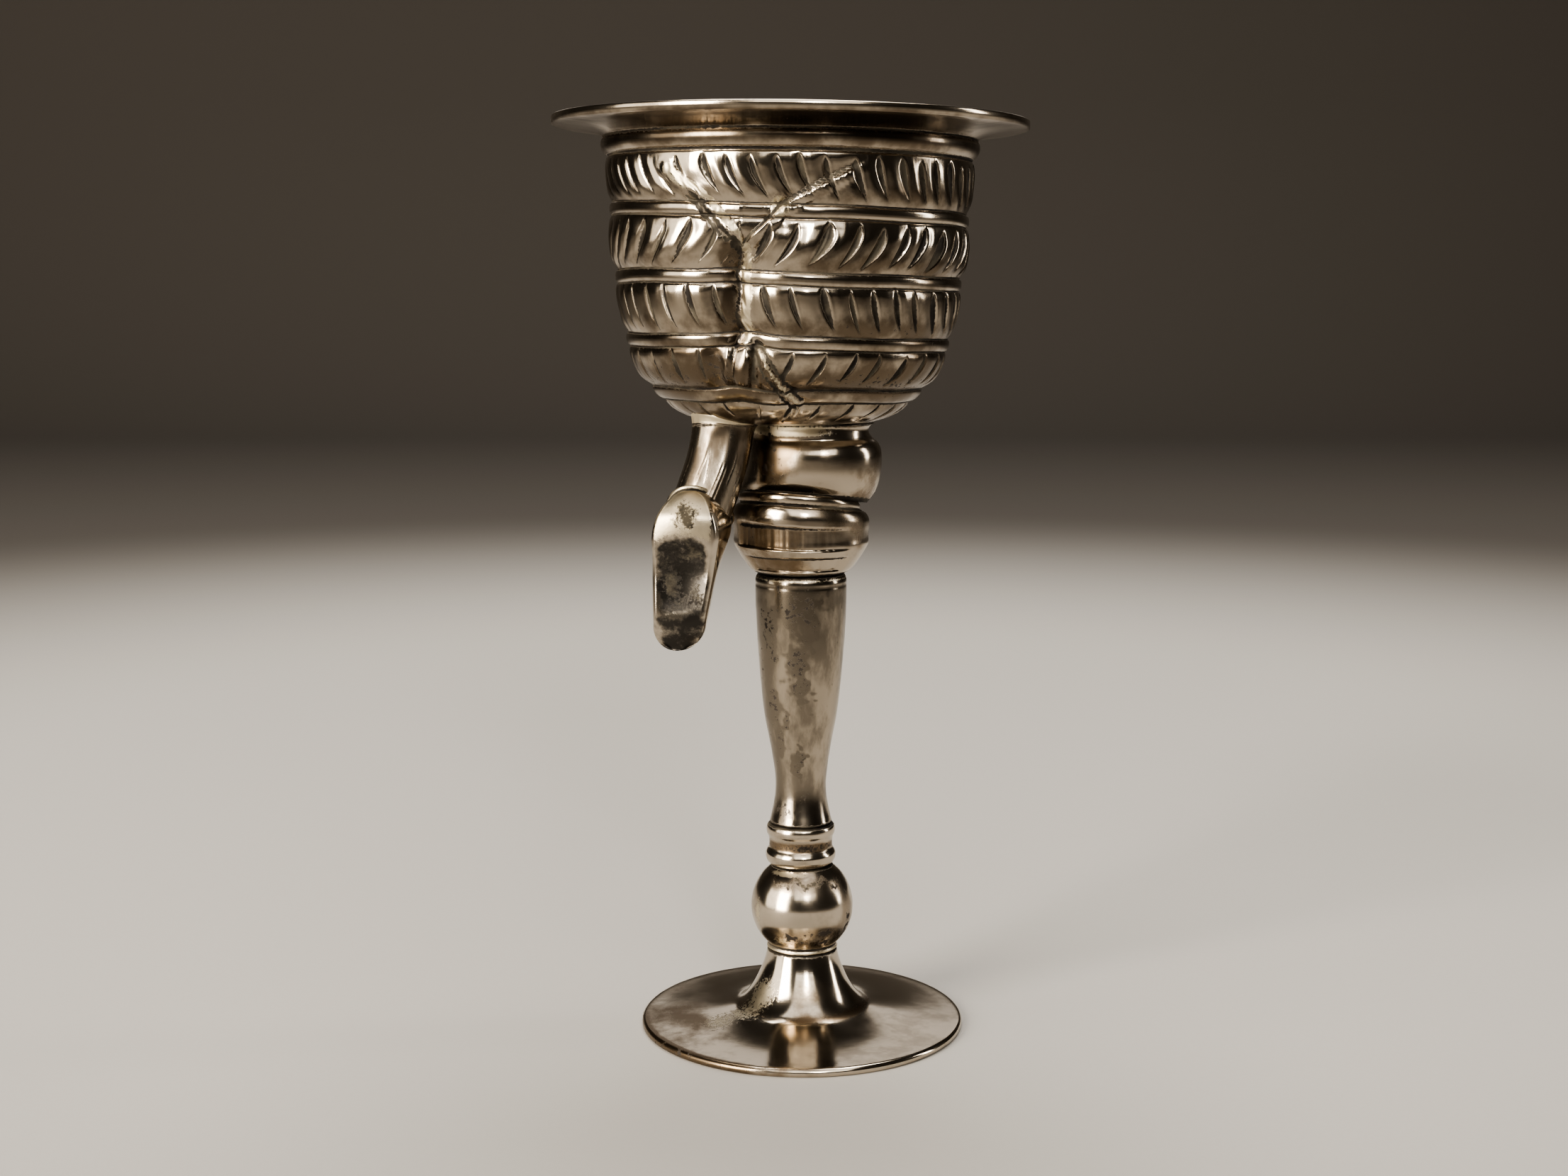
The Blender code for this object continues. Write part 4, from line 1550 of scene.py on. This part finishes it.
@dataclass
class Knop(Turned):
    """The ball above the foot, with scaly patches near both joints and pale solder at the top."""

    name: str = "ball"
    node: str = "ball_knop"
    slot: str = "knop_silver"
    centre: float = FOOT_X
    columns: int = 224
    spacing: float = 0.3
    outline: Line = (
        (6.0, 32.72), (6.6, 32.15), (8.0, 30.72), (9.35, 28.45), (10.1, 25.8), (10.2, 24.2),
        (10.0, 22.2), (9.2, 19.95), (8.1, 18.2), (7.2, 17.15), (6.9, 16.7), (6.95, 16.3),
        (7.1, 16.0), (7.0, 15.72),
    )
    grime: Marks = (
        Mark(0.9, 32.8, 0.3), Mark(0.85, 16.7, 0.3), Ripple(0.5, 30.6, 0.75, 8.0, 60.0),
        Mark(0.34, 19.4, 1.6, 20.0, 60.0),
    )
    solder: Marks = (
        Mark(0.8, 32.0, 0.5, -30.0, 45.0), Mark(0.7, 16.1, 0.35),
        Mark(0.62, 24.0, 4.0, -61.0, 6.0), Mark(0.5, 18.9, 1.3, -26.0, 22.0),
    )
    stain: Marks = (
        Ripple(0.95, 30.4, 1.0, 8.0, 60.0), Mark(0.95, 19.6, 2.2, 25.0, 60.0),
        Mark(0.76, 25.0, 4.0, 62.0, 12.0),
    )


@dataclass
class Foot(Turned):
    """The raised foot, a trumpet that spreads into a thin disc, hollow beneath."""

    name: str = "spread_foot"
    node: str = "foot"
    slot: str = "foot_silver"
    centre: float = FOOT_X
    columns: int = 320
    spacing: float = 0.6
    uneven: float = 0.03
    outline: Line = (
        (6.95, 15.5), (7.15, 14.6), (7.6, 12.9), (8.35, 10.9), (9.4, 8.6), (10.7, 6.5),
        (12.1, 4.9), (13.4, 4.0), (15.4, 3.35), (18.5, 2.7), (23.0, 2.08), (28.0, 1.72),
        (31.2, 1.62), (31.2, 1.62), (31.9, 1.52), (32.25, 1.15), (32.3, 0.7), (32.2, 0.25),
        (31.8, 0.0), (31.8, 0.0), (25.5, 0.0), (25.5, 0.0), (21.5, 0.65), (18.0, 1.3),
        (13.3, 2.9), (10.6, 4.9), (8.1, 8.4), (6.2, 12.6), (5.2, 14.1),
    )
    stained: float = 0.15
    top: Mark = Mark(0.8, 15.4, 0.35)
    underside: Mark = Veil(0.3, 0.6, -0.1)
    flank: Mark = Mark(0.6, 7.5, 4.0, -52.0, 26.0)
    trumpet: Mark = Mark(0.34, 9.5, 4.5, 15.0, 55.0)
    ring: Mark = Veil(0.4, 2.8, 3.4)
    disc: Mark = Mark(0.45, 0.0, ANYWHERE, -75.0, 50.0)
    edge: Mark = Mark(0.5, 0.0, ANYWHERE, -40.0, 35.0)

    def wear_and_painted_light(self, at: Around) -> WearAndPaintedLight:
        """See Turned: brown stain on the trumpet, specks on the disc's left."""
        reach = at.radius
        grime = self.top.share(at) * (reach > 6.2) + self.underside.share(at) * (reach < 31.6)
        film = bell(np.hypot(np.radians(wrapped(at.angle + 62.0)) * 20.0, reach - 18.0), 6.0)
        solder = 0.5 * film + self.flank.share(at) * (reach < 15.0)
        stain = self.stained + self.trumpet.share(at) * (reach < 13.5)
        stain = stain + self.ring.share(at) * bell(reach - 12.9, 1.1)
        stain = stain + self.disc.share(at) * smoothstep(16.0, 22.0, reach)
        return grime, solder, stain + self.edge.share(at) * smoothstep(30.5, 31.5, reach)


# The hanging leg.


@dataclass
class Stocking:
    """The stockinged leg: a bent tube with its folds, soldered under the cup."""

    name: str = "stockinged_leg"
    radius: float = 5.85
    columns: int = 256
    rows: int = 104
    route: tuple[Place, ...] = (
        (-12.3, -8.6, 126.0), (-12.8, -9.3, 121.0), (-13.8, -10.4, 115.2), (-15.4, -11.8, 110.0),
        (-17.2, -13.2, 105.0), (-18.6, -14.2, 101.6),
    )
    joint: float = 121.5
    stained: float = 0.42
    flutes: tuple[tuple[float, float, float], ...] = (
        (-0.16, -6.0, 12.0), (0.08, -24.0, 9.0), (-0.10, 46.0, 9.0),
    )
    lines: tuple[tuple[float, float, float, float], ...] = (
        (-24.0, 4.0, 0.34, 0.66), (-14.0, -4.0, 0.34, 0.66), (8.0, 4.0, 0.44, 0.84),
        (16.0, 3.0, 0.44, 0.84), (34.0, 3.0, 0.36, 0.62), (56.0, -4.0, 0.4, 0.9),
        (-62.0, 4.0, 0.35, 0.85), (105.0, 5.0, 0.3, 0.85), (150.0, -5.0, 0.35, 0.9),
        (-120.0, 5.0, 0.3, 0.8),
    )

    def route_point(self, part: float) -> Vector:
        """A place on the smooth curve through the route's points.

        Args:
            part: 0 at the route's start and 1 at its end.

        Returns:
            The place.
        """
        count = len(self.route) - 1
        at = min(int(part * count), count - 1)
        local = part * count - at
        near = (min(max(at + step, 0), count) for step in (-1, 0, 1, 2))
        before, start, end, after = (Vector(self.route[i]) for i in near)
        linear = (end - before) * 0.5
        square = before - 2.5 * start + 2 * end - 0.5 * after
        cube = 1.5 * (start - end) + 0.5 * (after - before)
        return start + (linear + (square + cube * local) * local) * local

    def spine(self, part: Field, step: float = 0.01) -> WearAndPaintedLight:
        """The leg's middle line.

        Args:
            part: places down the leg, 0 to 1.
            step: how far apart its direction is read.

        Returns:
            For each place its middle, and unit vectors to the leg's side and to its front.
        """
        centres, ahead, behind = (
            np.array([self.route_point(min(max(float(place) + move, 0.0), 1.0)) for place in part])
            for move in (0.0, step, -step)
        )
        down = ahead - behind
        down /= np.linalg.norm(down, axis=1)[:, None]
        side = np.cross(np.array([0.0, 1.0, 0.0]), down)
        side /= np.linalg.norm(side, axis=1)[:, None]
        return centres, side, np.cross(side, down)

    def build(self, cup: Cup, finish: Silver) -> bpy.types.Object:
        """Builds the leg.

        Args:
            cup: the cup that its top is soldered to.
            finish: its finish.

        Returns:
            The piece.
        """
        rod = np.array([(1.0, -part) for part in np.linspace(0.0, 1.0, self.rows)])
        mesh = spun(self.name, rod, self.columns)
        places = places_of(mesh)
        at = Around.of(places)
        part, share = -at.height, at.radius
        skin = share > 0.5
        centres, side, front = self.spine(part)
        turn = np.radians(at.angle)[:, None]
        spoke = np.cos(turn) * front - np.sin(turn) * side
        folds, cut = self.folds(at.angle, part)
        bare = centres + spoke * (share * (self.radius + folds))[:, None]
        gap = cup.under_cup(bare[:, 0], bare[:, 1]) - bare[:, 2]
        flare = 1.0 + 0.12 * np.exp(-np.clip(gap, 0.0, 9.0) / 0.8)
        rough = grain(places + centres, 1.1, 2.0)
        level = bare[:, 2] + 0.5 * rough - self.joint
        solder = smoothstep(0.0, 0.6, level) * skin
        reach = share * ((self.radius + folds) * flare + 0.18 * solder * rough)
        final = centres + spoke * (reach + 0.04 * grain(places + centres, 4.0))[:, None]
        lid = cup.under_cup(final[:, 0], final[:, 1]) + 0.25
        final[:, 2] = np.minimum(final[:, 2], lid)
        dark = 0.55 * bell(level + 0.2, 0.35) * skin
        wear_and_painted_light = cut + dark, 1.1 * solder, np.full(len(final), self.stained)
        return finished(mesh, final, wear_and_painted_light, finish, "stocking_leg")

    def folds(self, angle: Field, part: Field) -> tuple[Field, Field]:
        """The stocking's long folds and the lines cut along them.

        Args:
            angle: each point's angle round the leg, 0 at the front.
            part: its place down the leg, 0 to 1.

        Returns:
            The surface's height in mm and the residue.
        """
        drift = angle + 10.0 * (part - 0.5)
        soft = 0.05 * np.sin(np.radians(6.0 * drift))
        for amount, middle, wide in self.flutes:
            soft = soft + amount * bell(wrapped(drift - middle), wide)
        soft = soft * between(0.22, 0.30, 0.86, 0.98, part)
        cut = np.zeros(len(angle))
        for middle, sway, start, stop in self.lines:
            reach = between(start, start + 0.06, stop - 0.06, stop, part)
            curve = middle + sway * np.cos(np.pi * (part - start) / (stop - start))
            cut = np.maximum(cut, bell(wrapped(angle - curve), 1.6) * reach)
        return soft - 0.07 * cut, 0.36 * cut


@dataclass
class Shoe:
    """The shoe: heel up, its sole to the back of the figure, open at the ankle."""

    name: str = "shoe_upper"
    length: float = 30.3
    top: Place = (-19.5, -21.6, 109.7)
    yaw: float = math.radians(6.0)
    bend: float = 2.1
    lean: float = 0.17
    heel: tuple[float, float] = (9.0, 6.75)
    toe: tuple[float, float] = (5.0, 5.0)
    sole: Line = (
        (0.0, -1.0), (0.1, 0.2), (0.2, 0.75), (0.3, 0.7), (0.4, 0.25), (0.52, -0.1),
        (0.64, 0.15), (0.75, 0.3), (0.86, -0.4), (1.0, -2.8),
    )
    instep: Line = ((0.0, 8.5), (0.2, 14.5), (0.4, 12.6), (0.6, 9.0), (0.8, 7.0), (1.0, 4.6))
    dish: Line = (
        (0.0, 0.9), (0.2, 0.9), (0.32, 0.3), (0.44, -0.6), (0.62, -0.75), (0.78, 0.1),
        (0.9, 0.6), (1.0, 0.5),
    )
    edge: float = 0.8
    flat_reach: float = 58.0
    sole_reach: float = 90.0
    lip: Line = (
        (0.985, 0.05), (1.0, 0.02), (1.05, 0.10), (1.035, 0.22), (1.02, 0.30), (0.985, 0.22),
        (0.95, 0.08), (0.93, -0.10), (0.91, -0.8), (0.90, -1.8),
    )
    throat: Place = (-16.6, -13.0, 104.4)
    slope: float = math.radians(42.0)
    middle: float = -20.2
    segments: int = 192
    rings: int = 128

    def half_width(self, down: Field) -> Field:
        """Half the shoe's width.

        Args:
            down: how far each point lies below the heel's top, in mm.

        Returns:
            The half width in mm.
        """
        heel_length, heel_half = self.heel
        toe_length, toe_half = self.toe
        part = np.clip((down - heel_length) / (self.length - toe_length - heel_length), 0.0, 1.0)
        width = heel_half + (toe_half - heel_half) * part
        for left in (down / heel_length, (self.length - down) / toe_length):
            width = width * np.sqrt(1.0 - (1.0 - np.clip(left, 0.0, 1.0)) ** 2)
        return width

    def build(self, finish: Silver) -> bpy.types.Object:
        """Builds the shoe.

        Args:
            finish: its finish.

        Returns:
            The piece.
        """
        work = bmesh.new()
        bmesh.ops.create_uvsphere(work, u_segments=self.segments, v_segments=self.rings, radius=1.0)
        start = np.array([vertex.co for vertex in work.verts])
        for vertex, place in zip(work.verts, self.shaped(start)):
            vertex.co = place
        upwards = Vector((0.0, math.sin(self.slope), math.cos(self.slope)))
        geometry = work.verts[:] + work.edges[:] + work.faces[:]
        sliced = bmesh.ops.bisect_plane(
            work, geom=geometry, plane_co=self.throat, plane_no=upwards, clear_outer=True
        )
        rim = [part for part in sliced["geom_cut"] if isinstance(part, bmesh.types.BMEdge)]
        lid = bmesh.ops.edgeloop_fill(work, edges=rim)["faces"]
        for share, rise in self.lip:
            lid = stepped_in(work, lid, share, upwards * rise)
        mesh = mesh_from(work, self.name)
        places = places_of(mesh)
        wear_and_painted_light = self.wear_and_painted_light(places, (places - np.array(self.throat)) @ np.array(upwards))
        places = places + 0.05 * grain(places, 5.0)[:, None] * np.array([0.3, 1.0, 0.3])
        return finished(mesh, places, wear_and_painted_light, finish, "shoe")

    def wear_and_painted_light(self, places: Field, above: Field) -> WearAndPaintedLight:
        """The grainy pale heel, partly a painted highlight, the scorch under it, the sooty arch, the toe
        darkened as a painted reflection, and grime at the throat.

        Args:
            places: the points.
            above: how far each lies above the throat's cut, in mm.

        Returns:
            The grime, the solder and the stain of each point.
        """
        across, height = places[:, 0] - self.middle, places[:, 2]
        on_sole = smoothstep(-14.0, -17.5, places[:, 1])
        level = height + 0.05 * across**2
        # heel: a grainy pale crust, partly real grain and partly a painted highlight where the heel reflects
        # the light.
        heel = smoothstep(99.8, 102.8, level) * smoothstep(6.2, 4.6, np.abs(across)) * on_sole
        scorch = bell(height - 105.3, 3.5) * bell(across - 0.7, 3.1) * on_sole
        arch = smoothstep(102.0, 99.6, level) * smoothstep(84.0, 89.0, height)
        sooty = arch * smoothstep(6.4, 2.8, np.abs(across + 0.1)) * on_sole
        sooty = sooty * (1.0 + 0.2 * grain(places, 1.8))
        # toe: the sole darker towards the toe, a painted dark reflection.
        toe = smoothstep(87.0, 84.5, height) * bell(across + 0.4, 5.2) * on_sole
        soot = (0.38 + 0.25 * grain(places, 2.2, 5.0)) * smoothstep(83.5, 87.0, height)
        burnt = 0.56 + 0.2 * grain(places, 1.2, 9.0)
        grime = 0.85 * between(-0.2, 0.0, 0.1, 0.33, above) + soot * sooty + burnt * scorch
        return grime, 0.66 * heel, 0.2 + 0.3 * scorch + 0.66 * sooty + 0.6 * toe

    def shaped(self, start: Field) -> Field:
        """Carries a unit sphere's points, poles at heel and toe, to the shoe's surface.

        Args:
            start: the sphere's points.

        Returns:
            The places in mm.
        """
        part = (1.0 - start[:, 2]) / 2.0
        down = part * self.length
        around = np.degrees(np.arctan2(start[:, 1], start[:, 0]))
        from_sole = np.abs(wrapped(around + 90.0))
        is_sole = from_sole < self.sole_reach
        edge_reach = self.sole_reach - self.flat_reach
        rounding = np.radians(np.clip((from_sole - self.flat_reach) / edge_reach, 0.0, 1.0) * 90.0)
        flat = self.edge * np.clip(from_sole / self.flat_reach, 0.0, 1.0)
        upper = np.radians(np.clip(from_sole - self.sole_reach, 0.0, 90.0))
        side = np.where(is_sole, flat + (1.0 - self.edge) * np.sin(rounding), np.cos(upper) ** 0.85)
        side = side * np.sign(start[:, 0] + 1e-12)
        instep = smooth_along(self.instep, part)
        middle = 0.35 * instep
        crown = smooth_along(self.dish, part) * (1.0 - np.clip(flat / self.edge, 0.0, 1.0) ** 2)
        sole = middle + smooth_along(self.sole, part) + crown
        upper_reach = (instep - middle) * np.sin(upper) ** 0.85
        reach = np.where(is_sole, -sole * np.cos(rounding) ** 0.75, upper_reach)
        near_end = np.clip(np.minimum(down / 5.5, (self.length - down) / 4.0), 0.0, 1.0)
        y = middle + reach * np.sqrt(1.0 - (1.0 - near_end) ** 2) ** 0.9
        x = side * self.half_width(down) - self.bend * part**1.5
        x = x + self.lean * np.maximum(y, 0.0) * smoothstep(0.62, 0.15, part)
        turned_x = x * math.cos(self.yaw) + y * math.sin(self.yaw)
        turned_y = y * math.cos(self.yaw) - x * math.sin(self.yaw)
        return np.stack([turned_x, turned_y, -down], axis=1) + np.array(self.top)


# The studio.


class Softbox(Enum):
    """The soft lights, in metres and watts: place, target height, size, power and colour."""

    KEY = ((-1.75, -1.55, 0.85), 0.12, (1.00, 1.70), 84.0, (1.0, 0.92, 0.80))
    FILL = ((-1.95, -0.45, 0.60), 0.12, (0.90, 1.20), 6.0, (1.0, 0.93, 0.82))
    WINDOW = ((0.40, -1.90, 1.10), 0.11, (0.30, 0.56), 10.0, (1.0, 0.95, 0.88))
    PANEL = ((0.25, -2.00, 1.45), 0.05, (2.20, 1.20), 14.0, (1.0, 0.95, 0.87))
    SIDE = ((1.60, 0.20, 0.50), 0.11, (0.20, 0.90), 4.0, (1.0, 0.95, 0.88))
    TOP = ((0.05, 0.50, 1.50), 0.10, (1.00, 0.80), 15.0, (1.0, 0.96, 0.90))
    BACK = ((0.0, 2.10, 0.95), 0.10, (1.60, 0.50), 1.6, (1.0, 0.95, 0.90))
    CEILING = ((0.10, -0.70, 1.90), 0.10, (1.80, 1.40), 10.0, (1.0, 0.96, 0.91))

    def add(self) -> None:
        """Adds the area light, aimed at the goblet."""
        place, target, size, power, colour = self.value
        light = bpy.data.lights.new(self.name.lower() + "_softbox", "AREA")
        light.shape = "RECTANGLE"
        light.size, light.size_y = size
        light.energy = power
        light.color = colour
        lamp = linked(light.name, light)
        lamp.location = place
        lamp.visible_camera = False
        aim = Vector((0.0, 0.0, target)) - Vector(place)
        lamp.rotation_euler = aim.to_track_quat("-Z", "Y").to_euler()


@dataclass
class Studio:
    """A pale sweep of paper with a painted pool of light, soft lights and the camera. Its places are in
    metres.
    """

    paper: Colour = (0.44, 0.425, 0.405)
    # painted_shade_paper: the colour that the paper fades to away from the goblet, painted shade.
    painted_shade_paper: Colour = (0.10, 0.09, 0.08)
    tooth_mm: float = 1.2
    lit_from: Place = (0.0, 0.22, 0.0)
    lit_reach: tuple[float, float] = (0.24, 0.78)
    half_width: float = 3.2
    outline: Line = ((-3.6, 0.0), (1.6, 0.0), (2.4, 0.0), (2.4, 1.6))
    curve: float = 0.7
    world: Colour = (0.035, 0.031, 0.027)
    camera_place: Place = (-0.00124, -0.4129, 0.1469)
    camera_fall: float = math.radians(8.04)
    lens: float = 48.53

    def build(self) -> None:
        """Sets up the sweep, the lights, the world and the camera."""
        self.add_sweep()
        for box in Softbox:
            box.add()
        self.add_world()
        self.add_camera()

    def add_sweep(self) -> None:
        """The floor, curving up behind the goblet."""
        work = bmesh.new()
        corners = [work.verts.new((-self.half_width, y, z)) for y, z in self.outline]
        edges = [work.edges.new(pair) for pair in zip(corners, corners[1:])]
        bmesh.ops.bevel(
            work, geom=[corners[2], *edges[1:]], offset=self.curve, offset_type="OFFSET",
            affect="VERTICES", segments=16, profile=0.5, material=-1,
        )
        grown = bmesh.ops.extrude_edge_only(work, edges=work.edges[:])
        far = [part for part in grown["geom"] if isinstance(part, bmesh.types.BMVert)]
        bmesh.ops.translate(work, verts=far, vec=(2.0 * self.half_width, 0.0, 0.0))
        mesh = mesh_from(work, "paper_sweep")
        mesh.shade_smooth()
        mesh.materials.append(self.paper_finish())
        linked(mesh.name, mesh)

    def paper_finish(self) -> bpy.types.Material:
        """Paper, pale near the goblet under a painted pool of light, falling off into painted shade away
        from it.

        Returns:
            The material.
        """
        sheet = Recipe("Paper with painted light pool")
        place = sheet.add("ShaderNodeTexCoord").outputs["Object"]
        tooth = sheet.noise(place, self.tooth_mm, 4.0, 0.6)
        darker = tuple(0.96 * share for share in self.paper)
        paper = sheet.blend(tooth, darker, self.paper)
        # The paper's colour ramps from pale to dark with distance from lit_from: a painted pool of light.
        away = sheet.add("ShaderNodeVectorMath", operation="DISTANCE")
        away = sheet.fill(away, {0: place, 1: self.lit_from}).outputs["Value"]
        colour = sheet.blend(sheet.ramp(away, *self.lit_reach), paper, self.painted_shade_paper)
        sheet.fill(sheet.shader, {"Base Color": colour, "Roughness": 0.85})
        return sheet.material

    def add_world(self) -> None:
        """A dim warm world, the same all round."""
        world = bpy.data.worlds.new("Studio")
        world.use_nodes = True
        world.node_tree.nodes["Background"].inputs["Color"].default_value = (*self.world, 1.0)
        bpy.context.scene.world = world

    def add_camera(self) -> None:
        """The camera, a little above the goblet's middle."""
        camera = bpy.data.cameras.new("camera")
        camera.sensor_width = 36.0
        camera.lens = self.lens
        camera.clip_start = 0.01
        eye = linked(camera.name, camera)
        eye.location = self.camera_place
        eye.rotation_euler = (math.pi / 2 - self.camera_fall, 0.0, 0.0)
        bpy.context.scene.camera = eye
        bpy.context.scene.view_settings.look = "AgX - High Contrast"


def main() -> None:
    """Builds the goblet's looks, piece by piece, and its studio."""
    logging.basicConfig(level=logging.INFO, format="%(message)s")
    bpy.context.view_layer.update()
    cup = Cup()
    cup.build(Silver(
        "Cup silver", bright=(0.53, 0.465, 0.38), haze=(0.185, 0.147, 0.108), haze_share=0.55,
        haze_roughness=0.08, wave=0.35,
    ))
    turned = {"lines": Lines.ROUND, "middle": STEM_X, "across": 8.0}
    knee = {"bright": (0.54, 0.475, 0.39), "haze_share": 0.7, **turned}
    Stocking().build(cup, Silver(
        "Stocking silver", bright=(0.50, 0.44, 0.36), haze=(0.16, 0.127, 0.094), haze_share=0.9,
        haze_start=0.4, haze_size=5.0, stretch=2.5, roughness=0.2, speck_start=0.52,
        middle=-15.0, across=6.0,
    ))
    Shoe().build(Silver(
        "Shoe silver", haze=(0.052, 0.049, 0.046), haze_share=0.3, haze_size=3.0,
        patch_share=0.95, speck_start=0.5, speck_blur=0.3, middle=-20.0, across=6.0,
    ))
    Stump().build(Silver("Stump silver", haze_size=6.0, speck_start=0.5, **knee))
    Cushion().build(Silver("Cushion silver", **knee))
    Peg().build(Silver(
        "Peg silver", bright=(0.50, 0.44, 0.36), haze=(0.137, 0.117, 0.094), haze_share=0.6,
        haze_start=0.41, haze_size=6.0, patch_share=0.66, stretch=2.4, speck_size=1.0,
        speck_start=0.51, roughness=0.13, line_strength=0.5, middle=STEM_X, across=8.0,
    ))
    Collar().build(Silver("Collar silver", haze_share=0.5, **turned))
    Knop().build(Silver(
        "Ball silver", haze_share=0.5, patch_share=0.6, speck_size=2.4, speck_start=0.5, **turned
    ))
    Foot().build(Silver("Foot silver", haze_share=0.3, speck_size=1.6, roughness=0.13, **turned))
    Studio().build()


if __name__ == "__main__":
    main()
